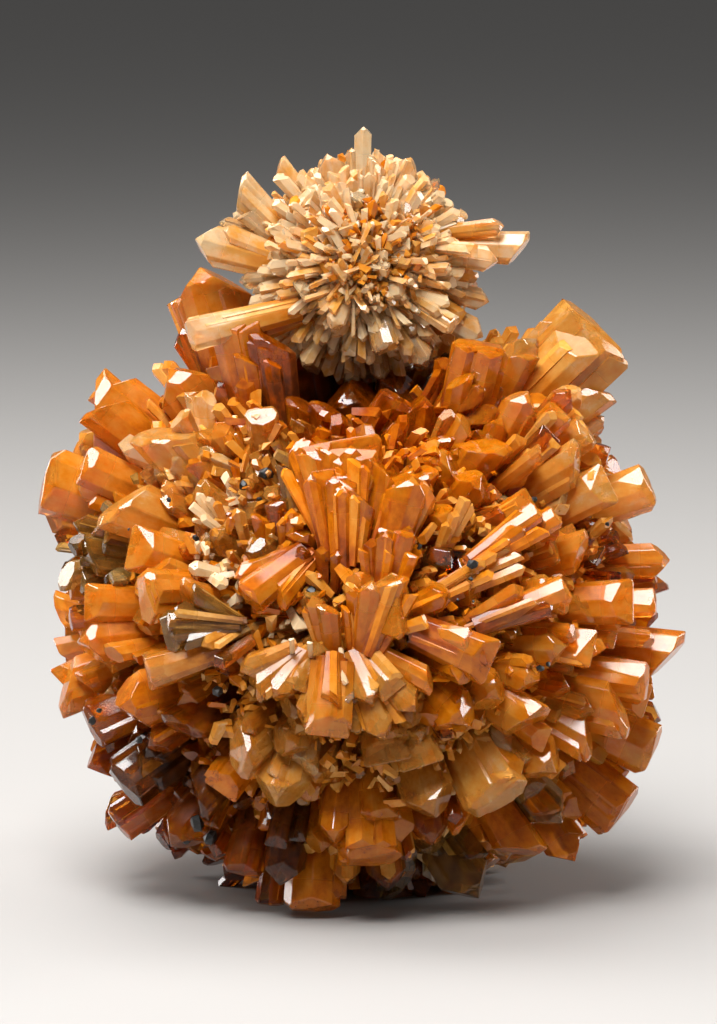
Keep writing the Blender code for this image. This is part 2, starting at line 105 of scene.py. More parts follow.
# Crystals of the large ball as seen: tip right and up of the nucleus, how far the tip is from the nucleus,
# width, form of the tip, look, and where it springs from if that isn't the nucleus
CROWN_LEFT = (
    (-18.2, 39.4, 42.9, 9.6, "roof", "o", (-8, 6)),
    (-20.8, 32.8, 38.8, 3.6, "high_right", "y"),
    (-14.0, 33.2, 38.2, 6.4, "blunt", "d", (-8, 4)),
    (-10.2, 32.0, 36.6, 5.2, "high_left", "d", (-6, 2)),
    (-31.6, 24.6, 39.8, 8.2, "high_right", "o", (-4, 3)),
    (-29.6, 26.2, 39.0, 5.4, "high_left", "o", (0, 5)),
    (-21.8, 27.8, 36.0, 6.6, "roof", "o", (-5, 4)),
    (-22.3, 28.6, 36.4, 2.0, "spear", "y"),
    (-23.6, 21.2, 36.0, 6.8, "high_left", "p", (-6, 0)),
    (-11.2, 22.9, 34.0, 3.8, "blunt", "t", (-9, 5)),
    (-16.6, 21.5, 33.0, 3.6, "spear", "o"),
    (-16.2, 26.2, 33.0, 3.0, "roof", "y"),
)
CROWN_BACK = (
    (-6.3, 24.4, 29.6, 5.0, "high_left", "d", (-5, 2)),
    (-3.0, 23.8, 29.2, 5.6, "high_left", "d", (-3, 4)),
    (4.8, 24.2, 29.8, 5.0, "blunt", "d", (-7, 8)),
    (7.6, 24.6, 30.8, 5.0, "roof", "d", (5, 0)),
    (4.0, 21.5, 31.0, 3.0, "spear", "d", (4, 0)),
    (9.9, 20.2, 32.5, 2.8, "high_right", "d"),
    (9.0, 17.8, 33.0, 3.2, "roof", "d"),
)
CROWN_RIGHT = (
    (14.2, 30.6, 37.4, 6.8, "blunt", "d", (7, 2)),
    (18.4, 30.2, 36.6, 5.6, "high_right", "o", (4, 3)),
    (27.7, 32.6, 42.9, 10.4, "blunt", "p", (0, 6)),
    (28.0, 26.0, 38.6, 5.6, "high_right", "p", (0, 4)),
    (16.4, 31.4, 35.6, 1.9, "spear", "y"),
    (18.1, 32.6, 37.4, 2.0, "spear", "y"),
    (20.4, 32.4, 38.4, 1.8, "spear", "y"),
    (19.5, 25.0, 36.8, 4.4, "roof", "o", (6, 0)),
    (24.4, 25.2, 38.4, 3.2, "roof", "y", (4, 2)),
    (23.4, 22.8, 37.0, 3.6, "blunt", "o"),
)
LEFT_SIDE = (
    (-36.2, 15.0, 39.2, 8.2, "blunt", "o", (0, 3)),
    (-31.8, 16.8, 37.2, 5.0, "blunt", "o", (0, 2)),
    (-28.8, 12.6, 36.0, 6.8, "high_left", "p", (-2, 2)),
    (-32.8, 10.0, 36.2, 3.0, "roof", "k"),
    (-32.4, 6.6, 36.0, 4.8, "high_right", "k", (0, 2)),
    (-35.0, 8.5, 36.0, 3.0, "spear", "y"),
    (-33.8, 5.2, 34.6, 3.0, "roof", "y"),
    (-26.4, 7.2, 36.0, 5.4, "chisel", "o"),
    (-24.8, 4.6, 35.6, 4.6, "high_left", "o", (-2, -3)),
    (-19.3, 4.6, 34.0, 2.4, "roof", "y"),
    (-33.2, 2.8, 34.2, 3.4, "blunt", "o"),
    (-33.2, -1.0, 34.6, 3.0, "blunt", "y"),
    (-31.5, 0.8, 36.0, 4.4, "chisel", "o"),
    (-24.8, 1.5, 37.0, 6.4, "blunt", "o", (-3, 2)),
    (-20.4, 1.5, 36.4, 4.4, "high_right", "o", (0, -3)),
    (-22.0, -2.6, 37.2, 4.8, "blunt", "k", (-6, 0)),
    (-32.3, -3.7, 36.4, 5.4, "roof", "o"),
    (-35.0, -9.6, 37.2, 6.4, "high_left", "o", (0, 3)),
    (-24.4, -7.2, 36.2, 4.4, "chisel", "o"),
    (-27.8, -11.2, 37.0, 6.8, "roof", "d", (0, -3)),
)
LOWER_LEFT = (
    (-31.0, -13.4, 36.2, 5.8, "blunt", "a"),
    (-31.2, -18.2, 37.4, 4.2, "roof", "a", (0, -4)),
    (-21.2, -14.2, 35.4, 5.2, "high_right", "a"),
    (-24.2, -15.8, 35.6, 3.8, "roof", "a"),
    (-27.2, -20.4, 37.4, 6.4, "blunt", "b", (0, 0)),
    (-27.8, -24.8, 38.0, 4.8, "blunt", "y", (2, -4)),
    (-21.6, -27.2, 37.0, 5.4, "roof", "a"),
    (-18.2, -26.2, 34.6, 3.6, "blunt", "a"),
    (-19.2, -22.8, 36.0, 5.0, "high_left", "b"),
    (-13.5, -30.4, 36.4, 4.6, "blunt", "a", (-6, 0)),
    (-10.3, -34.0, 37.0, 3.4, "blunt", "y", (-6, 0)),
    (-9.0, -31.8, 37.6, 4.8, "spear", "b", (-3, 0)),
    (-5.4, -34.6, 38.0, 6.4, "blunt", "d", (-4, 0)),
    (-1.6, -31.8, 35.4, 3.4, "roof", "o"),
    (-9.5, -22.4, 36.4, 6.6, "roof", "p", (-4, 0)),
    (-14.6, -17.3, 36.2, 5.8, "high_left", "t", (2, -2)),
    (-5.0, -19.8, 34.0, 3.8, "roof", "t"),
    (-16.0, -21.0, 34.6, 4.4, "chisel", "d"),
)
LOWER_RIGHT = (
    (1.4, -29.0, 36.6, 7.2, "blunt", "d"),
    (8.5, -27.0, 35.8, 4.4, "roof", "a", (4, 0)),
    (3.4, -32.3, 36.0, 4.6, "roof", "y"),
    (13.8, -33.2, 37.6, 6.2, "roof", "k", (-2, -8)),
    (19.4, -28.8, 37.2, 5.4, "high_left", "d", (2, 0)),
    (24.9, -29.0, 38.4, 4.8, "roof", "d", (6, 0)),
    (23.4, -24.6, 36.4, 5.2, "roof", "k"),
    (30.4, -23.6, 39.0, 7.2, "blunt", "d", (0, 2)),
    (34.0, -16.4, 38.4, 6.4, "blunt", "o"),
    (34.8, -12.8, 37.2, 3.4, "roof", "y"),
    (31.4, -12.0, 38.2, 6.0, "high_right", "o", (0, -4)),
    (33.2, -8.6, 38.2, 5.0, "blunt", "o", (0, -3)),
    (16.2, -22.2, 36.8, 7.8, "blunt", "p", (4, 0)),
    (12.4, -13.4, 36.4, 5.8, "roof", "d"),
    (8.8, -23.8, 36.2, 6.4, "roof", "t", (1, 0)),
    (7.4, -18.0, 35.4, 5.2, "chisel", "t"),
    (3.4, -17.6, 35.2, 5.4, "chisel", "t"),
    (10.7, -14.8, 35.2, 2.4, "spear", "y"),
    (12.6, -25.2, 34.4, 4.0, "high_right", "o"),
)
RIGHT_SIDE = (
    (22.3, 20.2, 36.2, 3.0, "chisel", "y"),
    (26.4, 20.6, 36.6, 4.2, "blunt", "p", (0, 3)),
    (29.0, 18.6, 36.4, 3.2, "roof", "y", (0, 3)),
    (26.0, 17.6, 37.0, 4.8, "high_left", "p", (0, 2)),
    (33.6, 14.2, 37.6, 5.6, "blunt", "p", (0, 3)),
    (28.9, 14.6, 37.0, 5.0, "chisel", "p"),
    (29.2, 9.6, 33.6, 3.0, "roof", "y"),
    (35.8, 5.6, 37.0, 4.2, "roof", "o", (0, 5)),
    (34.3, 3.4, 35.0, 3.0, "blunt", "y"),
    (20.4, 11.8, 36.4, 5.0, "chisel", "o"),
    (23.4, 10.6, 35.8, 4.2, "spear", "o"),
    (17.6, 10.8, 34.0, 3.0, "roof", "y", (0, 8)),
    (12.6, 12.6, 33.6, 2.4, "spear", "y"),
    (18.4, 7.2, 33.8, 2.4, "spear", "y"),
    (26.6, 7.0, 35.0, 4.6, "high_left", "o"),
    (31.6, 0.9, 37.4, 5.2, "chisel", "o"),
    (34.2, 0.8, 36.4, 3.4, "blunt", "o"),
    (23.8, 1.8, 37.0, 4.6, "high_right", "o", (0, 1)),
    (37.2, -5.4, 38.8, 5.8, "high_left", "o", (0, 0)),
    (27.0, -4.6, 37.8, 4.4, "chisel", "o"),
    (24.0, -4.2, 36.8, 4.6, "roof", "o", (0, -4)),
)
FACE = (
    (-2.4, 19.3, 34.6, 9.8, "chisel", "d"),
    (2.6, 17.4, 34.0, 5.4, "high_left", "d"),
    (-1.6, 15.2, 35.4, 6.4, "chisel", "d"),
    (-8.8, 14.8, 33.4, 4.6, "high_right", "t"),
    (6.0, 15.0, 35.6, 6.2, "roof", "d"),
    (7.4, 16.4, 33.6, 4.0, "high_right", "d"),
    (4.6, 8.6, 35.4, 4.6, "chisel", "d"),
    (-12.6, 7.4, 33.4, 4.4, "roof", "t"),
    (-13.8, 12.2, 32.2, 3.8, "spear", "t"),
    (-5.6, 1.4, 34.0, 4.6, "roof", "t"),
    (-10.4, 1.6, 32.4, 4.4, "high_left", "o"),
    (0.2, 3.0, 35.2, 4.0, "roof", "o"),
    (4.4, 0.4, 37.0, 7.4, "chisel", "o"),
    (9.8, 1.6, 35.4, 3.8, "roof", "o"),
    (10.6, 6.6, 34.2, 3.8, "spear", "y"),
    (13.4, -5.4, 37.0, 7.2, "high_right", "d"),
    (17.0, -1.0, 34.6, 4.4, "roof", "o"),
    (-3.2, -13.2, 36.6, 6.8, "chisel", "t"),
    (-11.6, -8.6, 35.4, 5.8, "roof", "t"),
    (-16.4, -7.0, 34.4, 3.0, "spear", "y"),
    (-8.6, -11.6, 34.2, 3.6, "high_left", "t"),
    (-5.2, -5.6, 34.4, 4.8, "roof", "t"),
    (2.0, -8.4, 34.2, 4.6, "roof", "t"),
    (7.4, -9.2, 34.2, 4.0, "spear", "t"),
    (-6.2, 9.8, 32.5, 5.0, "high_left", "d"),
    (-9.4, 5.6, 32.0, 5.6, "chisel", "o"),
    (-16.8, 9.2, 33.2, 4.4, "roof", "t"),
    (-19.0, 13.0, 33.6, 5.0, "high_right", "t"),
    (-12.2, 16.6, 32.0, 4.4, "roof", "t"),
    (1.2, 10.8, 33.4, 4.4, "high_right", "d"),
    (-1.8, 6.6, 33.0, 4.2, "roof", "d"),
    (11.4, 17.2, 33.0, 4.8, "high_left", "d"),
    (10.6, 11.4, 34.0, 4.4, "roof", "d"),
    (15.6, 19.6, 34.4, 5.2, "high_right", "d"),
    (14.2, 15.4, 34.0, 4.4, "roof", "d"),
    (14.2, 2.6, 34.6, 4.4, "high_left", "o"),
    (-1.2, -3.2, 34.0, 4.4, "high_right", "o"),
    (16.4, -10.4, 35.0, 5.0, "roof", "o"),
    (6.2, -13.2, 35.0, 4.4, "roof", "t"),
    (-8.6, -16.6, 35.0, 4.8, "roof", "t"),
    (20.6, -13.6, 36.2, 5.4, "high_left", "o"),
    (22.8, -18.8, 36.8, 5.8, "roof", "o"),
    (27.4, -15.4, 36.8, 5.0, "high_right", "o"),
    (20.6, -8.2, 35.6, 4.4, "roof", "o"),
)

# Crystals of the small ball, in the same way
UPPER_SPRAY = (
    (0.2, 16.2, 16.4, 2.1, "roof", "c"),
    (-1.2, 13.8, 14.0, 2.4, "roof", "u"),
    (-4.0, 13.1, 14.2, 3.2, "roof", "u"),
    (1.9, 12.6, 13.4, 2.6, "high_left", "u"),
    (5.6, 12.7, 14.0, 2.6, "roof", "u"),
    (7.6, 10.4, 13.2, 1.8, "spear", "c"),
    (-9.8, 12.1, 15.6, 2.6, "high_right", "u"),
    (-14.5, 9.7, 17.6, 4.2, "high_right", "u", (-5, 0)),
    (-19.0, 3.4, 19.6, 4.4, "roof", "u", (0, -2)),
    (-16.3, 5.3, 17.2, 2.2, "roof", "c"),
    (19.0, 2.3, 19.4, 4.0, "high_left", "u", (0, 3)),
    (15.5, 0.9, 16.8, 3.0, "roof", "u", (0, 3)),
    (14.5, -3.8, 15.4, 2.6, "roof", "u"),
    (13.8, -7.8, 16.2, 3.2, "roof", "u"),
    (7.5, -11.3, 15.2, 3.2, "roof", "v"),
    (2.8, -9.3, 14.6, 3.2, "blunt", "v"),
    (2.3, -12.9, 14.0, 2.4, "roof", "v"),
    (-1.2, -13.3, 13.8, 1.8, "spear", "v"),
    (-4.2, -12.3, 13.6, 1.8, "spear", "v"),
    (-19.8, -7.6, 23.6, 4.0, "blunt", "u", (0, -3)),
    (-13.3, -4.3, 14.8, 1.9, "high_left", "c"),
    (-14.0, -1.5, 14.6, 2.2, "roof", "c"),
    (-10.0, -11.6, 16.0, 2.0, "roof", "v"),
    (-6.8, -11.1, 14.4, 2.0, "roof", "v"),
    (9.4, 8.8, 13.4, 1.6, "spear", "c"),
    (11.2, 6.6, 13.6, 1.6, "spear", "c"),
    (12.2, 5.0, 13.6, 1.6, "spear", "c"),
    (10.6, -6.6, 15.4, 2.4, "blunt", "u"),
    (-3.4, -6.8, 14.4, 2.4, "roof", "u"),
)

# Thinner crystals on the near side of the large ball, laid over the others: the same, but the last place is
# where the foot of each is seen
LAID = (
    # red-orange fan with a toothed upper edge, and the smaller one before it
    (-7.6, 19.2, 34.6, 3.0, "high_right", "d", (-3.4, 8.0)),
    (-6.3, 19.6, 34.9, 3.2, "roof", "d", (-2.9, 7.6)),
    (-4.9, 19.0, 35.1, 3.4, "chisel", "d", (-2.3, 7.2)),
    (-3.5, 18.8, 35.2, 3.2, "high_left", "d", (-1.7, 7.0)),
    (-2.3, 18.5, 35.0, 3.4, "chisel", "d", (-1.2, 6.8)),
    (-0.9, 18.9, 35.2, 3.4, "roof", "d", (-0.7, 6.8)),
    (0.5, 18.4, 35.1, 3.2, "chisel", "d", (-0.1, 7.0)),
    (1.7, 17.7, 35.0, 3.4, "high_left", "d", (0.5, 7.2)),
    (2.9, 16.8, 34.9, 3.2, "high_left", "d", (1.0, 7.6)),
    (3.7, 15.8, 34.7, 2.8, "high_left", "d", (1.5, 8.0)),
    (-5.3, 15.9, 35.6, 2.6, "roof", "d", (-3.4, 6.0)),
    (-4.1, 16.0, 35.8, 2.7, "chisel", "d", (-2.8, 5.6)),
    (-2.8, 15.4, 35.9, 2.8, "roof", "d", (-2.2, 5.2)),
    (-1.5, 14.9, 36.0, 2.8, "chisel", "d", (-1.5, 5.2)),
    (-0.3, 14.1, 35.9, 2.8, "high_left", "d", (-0.8, 5.4)),
    (0.8, 13.0, 35.7, 2.6, "high_left", "d", (-0.2, 5.6)),
    (6.2, 15.4, 35.9, 4.8, "roof", "d", (3.0, 4.6)),
    (4.5, 14.4, 35.4, 2.2, "high_right", "d", (2.6, 4.6)),
    (8.4, 14.4, 35.2, 2.4, "high_left", "o", (4.0, 5.0)),
    (5.4, 8.9, 36.2, 2.6, "blunt", "d", (3.2, 0.6)),
    (3.2, 9.0, 35.9, 2.4, "roof", "d", (2.4, 0.6)),
    (1.4, 8.2, 35.4, 2.0, "spear", "a", (1.6, 0.6)),
    # orange tips about the middle
    (4.2, 4.0, 37.2, 3.4, "high_right", "o", (1.2, -5.0)),
    (1.6, 3.2, 36.8, 3.0, "roof", "o", (0.4, -5.0)),
    (-0.4, 2.6, 36.0, 2.2, "spear", "d", (-0.4, -5.0)),
    (-5.3, 1.6, 35.6, 2.4, "spear", "o", (-3.4, -6.0)),
    (-3.6, 0.6, 35.8, 2.6, "high_left", "o", (-2.8, -6.0)),
    (-12.8, 1.2, 35.6, 4.4, "blunt", "d", (-6.0, 6.5)),
    (-14.2, 3.6, 35.0, 2.6, "roof", "d", (-6.0, 7.0)),
    (-9.4, 0.8, 35.2, 2.8, "high_left", "d", (-5.0, 6.0)),
    (7.8, -1.4, 36.8, 1.8, "blunt", "o", (2.0, -3.0)),
    (10.4, 2.0, 36.0, 3.2, "roof", "d", (4.0, -1.0)),
    (15.4, -6.2, 38.0, 5.4, "chisel", "d", (6.5, -2.4)),
    (12.8, -3.8, 37.6, 3.2, "blunt", "o", (6.0, -2.4)),
    # grey fan on the left
    (-19.5, 2.0, 36.6, 2.4, "high_right", "k", (-13.6, -1.6)),
    (-21.2, 0.2, 37.0, 2.2, "roof", "k", (-13.6, -1.6)),
    (-22.0, -1.4, 37.6, 2.4, "blunt", "k", (-13.6, -1.7)),
    (-21.7, -2.9, 37.6, 2.4, "roof", "k", (-13.6, -1.8)),
    (-20.2, -3.9, 37.2, 2.2, "high_left", "k", (-13.6, -1.9)),
    (-18.0, -4.2, 36.8, 2.0, "roof", "t", (-13.6, -2.0)),
    # tan sprays below the middle
    (-13.6, -7.2, 36.8, 3.2, "roof", "t", (-7.0, -4.6)),
    (-12.4, -9.4, 37.0, 3.4, "high_left", "t", (-6.6, -4.8)),
    (-9.8, -10.2, 37.0, 3.4, "roof", "t", (-6.0, -5.0)),
    (-7.4, -9.2, 36.6, 2.8, "chisel", "t", (-5.4, -5.0)),
    (-24.2, -7.2, 37.8, 3.8, "blunt", "t", (-15.0, -4.4)),
    (-16.6, -6.6, 36.4, 2.2, "spear", "y", (-12.0, -3.4)),
    (-3.6, -14.6, 38.2, 5.0, "chisel", "o", (-3.0, -6.0)),
    (-1.4, -11.2, 37.2, 2.4, "roof", "c", (-2.0, -5.4)),
    (-6.2, -13.2, 37.4, 3.2, "roof", "t", (-3.6, -5.6)),
    (1.6, -11.0, 36.8, 3.6, "roof", "t", (-1.0, -5.0)),
    (4.2, -9.6, 36.6, 3.4, "chisel", "t", (0.0, -4.8)),
    (6.6, -11.8, 36.8, 3.6, "roof", "t", (0.6, -5.2)),
    (8.8, -8.6, 36.6, 3.0, "high_right", "o", (1.4, -4.6)),
    (3.0, -15.0, 37.0, 3.6, "roof", "t", (-0.4, -6.4)),
    # clear golden needles on the right
    (18.8, 6.4, 35.8, 1.5, "high_right", "y", (8.4, 1.8)),
    (17.4, 7.4, 35.6, 1.3, "spear", "y", (8.2, 2.2)),
    (16.0, 6.4, 35.6, 1.4, "roof", "y", (8.0, 1.6)),
    (14.6, 5.6, 35.6, 1.5, "spear", "y", (7.6, 1.4)),
    (19.2, 4.9, 35.8, 1.6, "roof", "y", (9.4, 0.8)),
    (15.6, 4.2, 35.6, 1.4, "spear", "o", (8.2, 0.8)),
    (12.3, 12.8, 35.4, 1.6, "blunt", "y", (9.4, 6.4)),
    (13.1, 12.2, 35.2, 1.4, "roof", "y", (9.8, 6.4)),
    (11.3, 11.4, 35.2, 1.5, "spear", "y", (9.2, 6.0)),
    (10.3, 10.0, 35.0, 1.4, "roof", "y", (8.8, 5.8)),
    (24.0, 2.4, 37.4, 3.4, "blunt", "o", (13.2, -2.0)),
    (22.4, 0.4, 37.2, 2.4, "roof", "y", (13.0, -2.4)),
    (19.0, 2.6, 36.6, 2.2, "spear", "o", (12.4, -1.4)),
    (20.6, 11.4, 36.6, 2.6, "blunt", "o", (12.8, 5.6)),
    (22.8, 10.8, 36.4, 2.8, "blunt", "o", (14.0, 5.2)),
    (19.2, 9.4, 36.2, 2.4, "roof", "d", (12.4, 4.8)),
    # broken, glassy mix in the hollow on the left
    (-18.6, 13.4, 34.6, 1.3, "roof", "c", (-15.8, 9.6)),
    (-17.4, 13.0, 34.4, 1.1, "spear", "c", (-15.4, 9.6)),
    (-19.2, 12.0, 34.8, 1.2, "blunt", "c", (-15.8, 9.0)),
    (-16.4, 12.4, 34.2, 1.2, "roof", "y", (-15.0, 9.2)),
    (-18.2, 10.8, 34.8, 1.3, "spear", "c", (-15.2, 8.6)),
    (-14.0, 11.6, 33.8, 1.8, "roof", "t", (-12.8, 7.2)),
    (-11.4, 11.0, 33.6, 2.2, "high_left", "d", (-10.6, 6.2)),
    (-9.6, 12.4, 33.4, 2.4, "blunt", "a", (-8.8, 6.0)),
    (-7.6, 11.6, 33.6, 2.0, "roof", "d", (-7.4, 5.6)),
    (-8.6, 16.8, 34.4, 2.2, "high_left", "k", (-7.2, 9.8)),
    (-12.0, 7.6, 34.6, 2.6, "blunt", "k", (-9.4, 3.8)),
    (-6.6, 7.2, 33.8, 2.2, "roof", "a", (-6.0, 2.4)),
    (-4.2, 7.4, 34.0, 1.8, "spear", "a", (-4.0, 2.4)),
    (-2.4, 6.8, 34.0, 1.8, "roof", "a", (-2.6, 2.2)),
    (-7.7, -3.4, 36.4, 0.7, "blunt", "c", (-7.5, -6.4)),
    (-5.6, -3.8, 36.4, 0.7, "blunt", "c", (-5.4, -6.4)),
    (-19.4, 4.9, 35.8, 1.9, "roof", "c", (-16.2, 4.2)),
    (-15.4, 2.8, 35.4, 1.7, "roof", "c", (-17.6, 4.2)),
)

# Where a facet at a crystal's tip catches the light, as seen, and how deep it is cut into the tip
BRIGHT_FACETS = (
    (4.7, 2.8, 0.5), (-11.8, 6.9, 0.9), (12.4, -3.9, 0.6), (-10.9, -6.5, 0.6), (4.0, 8.5, 0.5),
    (6.7, 15.0, 0.5), (-11.2, 21.2, 1.3), (-22.0, 27.0, 0.9), (-24.1, 20.3, 0.6), (-7.3, 19.1, 0.5),
    (-5.9, 19.2, 0.4), (-4.6, 18.6, 0.5), (-3.4, 17.6, 0.4), (-1.6, 18.4, 0.5), (-0.6, 18.5, 0.4),
    (-4.9, 15.4, 0.5), (-3.6, 15.3, 0.4), (-2.6, 13.9, 0.6), (33.1, 14.4, 1.0), (27.7, 13.6, 0.7),
    (23.1, 1.8, 0.9), (25.6, -3.9, 0.9), (28.6, -5.0, 0.8), (32.2, -5.2, 0.8), (31.3, 1.3, 0.5),
    (33.7, 1.4, 0.6), (20.2, 11.0, 0.5), (22.5, 10.8, 0.4), (17.8, 6.0, 0.4), (-23.7, 2.8, 0.5),
    (-24.0, -6.6, 0.6), (-19.4, 5.0, 0.5), (-13.6, 3.4, 0.4), (-3.0, -12.2, 0.8), (-4.6, -13.4, 0.5),
    (33.3, -14.6, 0.9), (19.4, 22.6, 0.7), (10.4, 22.6, 0.5), (8.9, 16.2, 0.5), (-31.6, 18.9, 0.6),
    (-25.6, 12.4, 0.5), (-29.0, 4.6, 0.5), (-28.4, -2.8, 0.5), (9.6, -20.2, 0.5), (20.8, -14.0, 0.5),
    (15.2, -12.6, 0.4), (-16.2, -15.8, 0.5), (-27.0, -24.2, 0.5), (2.0, -17.4, 0.5), (30.2, -22.8, 0.6),
    (-31.2, 24.0, 0.7), (27.2, 31.0, 0.8), (-18.2, 38.6, 0.7), (14.6, 29.6, 0.6),
)

# Black grains: the place as seen, how far from the nucleus, and the width of the dark spot
BLACK_GRAINS = (
    (13.1, 5.2, 35.6, 1.8), (12.9, 3.5, 35.2, 0.9), (20.2, 12.6, 36.2, 1.3), (7.0, 7.2, 34.8, 1.1),
    (8.8, 2.0, 35.6, 0.8), (13.2, 0.9, 36.0, 0.5), (11.4, 1.1, 36.0, 0.5), (20.9, -6.8, 37.4, 1.4),
    (21.8, -6.3, 37.2, 0.9), (-10.6, 15.6, 32.4, 2.6), (-13.2, 14.2, 32.6, 1.5),
    (-18.7, 8.2, 34.0, 1.1), (-5.4, 1.9, 33.0, 2.0), (-4.6, -0.2, 33.4, 1.8), (-9.4, 5.0, 33.4, 1.2),
    (-16.2, -9.4, 34.8, 2.4), (-14.0, -1.6, 34.2, 1.6), (-25.2, -15.0, 36.6, 1.2),
    (-30.6, -12.8, 37.4, 1.3), (-29.8, -11.6, 37.4, 1.0), (-18.6, -24.6, 35.8, 3.0),
    (-17.0, -26.2, 35.6, 2.4), (-19.8, -26.4, 35.8, 2.0), (-25.6, -20.6, 36.4, 1.8),
    (-8.8, -30.6, 36.2, 2.0), (-21.8, 12.6, 35.4, 0.8), (-26.4, 9.2, 36.8, 0.5), (28.6, 9.8, 36.2, 0.8),
)


def seen(right, up, toward):
    """A step given as seen by the viewer, in the part's own axes."""
    tilt = math.radians(LOOK_DOWN_DEG)
    back = up * math.sin(tilt) - toward * math.cos(tilt)
    rise = up * math.cos(tilt) + toward * math.sin(tilt)
    return Vector((right, back, rise))


LOWER = Vector((0, 0, LOWER_HEIGHT))
UPPER = LOWER + seen(*UPPER_OFFSET_SEEN)
TOWARD_VIEWER = seen(0, 0, 1)
EYE = Vector((0, 0, VIEW_LEVEL)) + seen(0, 0, VIEW_DISTANCE)


def on_line_of_sight(nucleus, right, up, reach):
    """From the nucleus to the near point at this reach from it that the viewer sees at a place beside it."""
    sight = (nucleus + seen(right, up, 0) - EYE).normalized()
    passing = EYE + sight * sight.dot(nucleus - EYE) - nucleus
    return passing - sight * math.sqrt(max(0.0, reach**2 - passing.length_squared))


def on_view(place):
    """Where the viewer sees a place of the large ball, right and up of its nucleus."""
    sight = LOWER + place - EYE
    ahead = (LOWER - EYE).dot(TOWARD_VIEWER) / sight.dot(TOWARD_VIEWER)
    step = EYE + sight * ahead - LOWER
    return Vector((step.dot(seen(1, 0, 0)), step.dot(seen(0, 1, 0))))


def near_small_ball(place, clearance):
    """Whether a place of the large ball is this near to the small one's nucleus."""
    return (LOWER + place - UPPER).length < clearance


def spread_evenly(count):
    """Directions spread evenly over a sphere along a golden spiral."""
    golden_angle = math.pi * (3 - math.sqrt(5))
    for i in range(count):
        height = 1 - 2 * (i + 0.5) / count
        level = math.sqrt(1 - height * height)
        yield Vector((level * math.cos(i * golden_angle), level * math.sin(i * golden_angle), height))


def grown(nucleus, root, tip, width, form, look, wander):
    """A crystal with its flatness and roll left to chance."""
    flatness = wander.uniform(*FLATNESS)
    roll = wander.uniform(-ROLL_DEG, ROLL_DEG)
    return Crystal(nucleus, root, tip, width, flatness, roll, form, look)


def placed(nucleus, rows, wander):
    """The crystals that are given as seen."""
    for row in rows:
        blade = Blade(*row)
        tip = on_line_of_sight(nucleus, blade.right, blade.up, blade.reach)
        root = seen(*blade.root, FRONT_SPRING * tip.dot(TOWARD_VIEWER))
        yield grown(nucleus, root, tip, blade.width, blade.form, LOOKS[blade.look], wander)


LAID_SINK = 3.5  # how much nearer to the nucleus the foot of a laid crystal is than its tip


def laid(rows, wander):
    """The crystals that lie along the near side, each from where its foot is seen to where its tip is."""
    for row in rows:
        blade = Blade(*row)
        tip = on_line_of_sight(LOWER, blade.right, blade.up, blade.reach)
        foot_end = on_line_of_sight(LOWER, *blade.root, blade.reach - LAID_SINK)
        run = tip - foot_end
        root = tip - run / (1 - ROOT_SHARE)
        yield grown(LOWER, root, tip, blade.width, blade.form, LOOKS[blade.look], wander)


def filling(nucleus, fill, taken, shorten, wander):
    """Crystals in the widest gaps between the directions in taken, until no gap is wide enough."""
    candidates = [(way, max(map(way.dot, taken))) for way in spread_evenly(FILL_CANDIDATES)]
    nearest = math.cos(math.radians(fill["gap_deg"]))
    forms = sorted(TIP_FACES)
    while candidates:
        direction = min(candidates, key=lambda candidate: candidate[1])[0]
        candidates = [(other, max(near, other.dot(direction))) for other, near in candidates]
        candidates = [(other, near) for other, near in candidates if near < nearest]
        reach = shorten(direction, wander.uniform(*fill["reach"]))
        width = wander.uniform(*fill["width"])
        off_centre = wander.uniform(-FILL_WANDER, FILL_WANDER) * width / LOWER_FILL["width"][1]
        root = direction.orthogonal().normalized() * off_centre
        yield grown(nucleus, root, direction * reach, width, wander.choice(forms), None, wander)


def foot(wander):
    """Stout crystals that point down, past the surface that the specimen rests on."""
    down = Vector((0, 0, -1))
    for bearing, lean, width in FOOT:
        side = Matrix.Rotation(math.radians(bearing), 3, "Z") @ Vector((1, 0, 0))
        outward = down * math.cos(math.radians(lean)) + side * math.sin(math.radians(lean))
        yield grown(LOWER, Vector(), outward * FOOT_REACH, width, "blunt", LOOKS["a"], wander)


def end_near_small_ball(direction, reach):
    """The reach, shortened where the crystal would end in the small ball or in the hollow before it."""
    clearance = FRONT_CLEARANCE if direction.dot(TOWARD_VIEWER) > FRONT_LEAN else UPPER_CLEARANCE
    while near_small_ball(direction * reach, clearance):
        reach -= SHORTEN_STEP
    return reach


def stout_crystals():
    """The crystals that the solid has too, of the large ball and of the small one."""
    wander = random.Random(SEED)
    rows = CROWN_LEFT + CROWN_BACK + CROWN_RIGHT + LEFT_SIDE + LOWER_LEFT + LOWER_RIGHT + RIGHT_SIDE + FACE
    crystals = list(placed(LOWER, rows, wander)) + list(foot(wander))
    taken = [crystal.tip.normalized() for crystal in crystals]
    crystals += filling(LOWER, LOWER_FILL, taken, end_near_small_ball, wander)

    spray = list(placed(UPPER, UPPER_SPRAY, wander))
    taken = [crystal.tip.normalized() for crystal in spray]
    spray += filling(UPPER, UPPER_FILL, taken, lambda direction, reach: reach, wander)
    return crystals, spray


def deselect_all():
    for obj in bpy.context.selected_objects:
        obj.select_set(False)


# The three crystals that are modelled for each form of tip, in half widths: a stout one has more sides, and
# its edges are taken off a little
SIDES = {"stout": 8, "slim": 6, "fine": 4}
EDGE_CUT = 0.035
MASTER_DEPTH = 6.0
SHOULDER = -3.4  # only what is below it is stretched to a crystal's length
MEAN_FLATNESS = 0.68


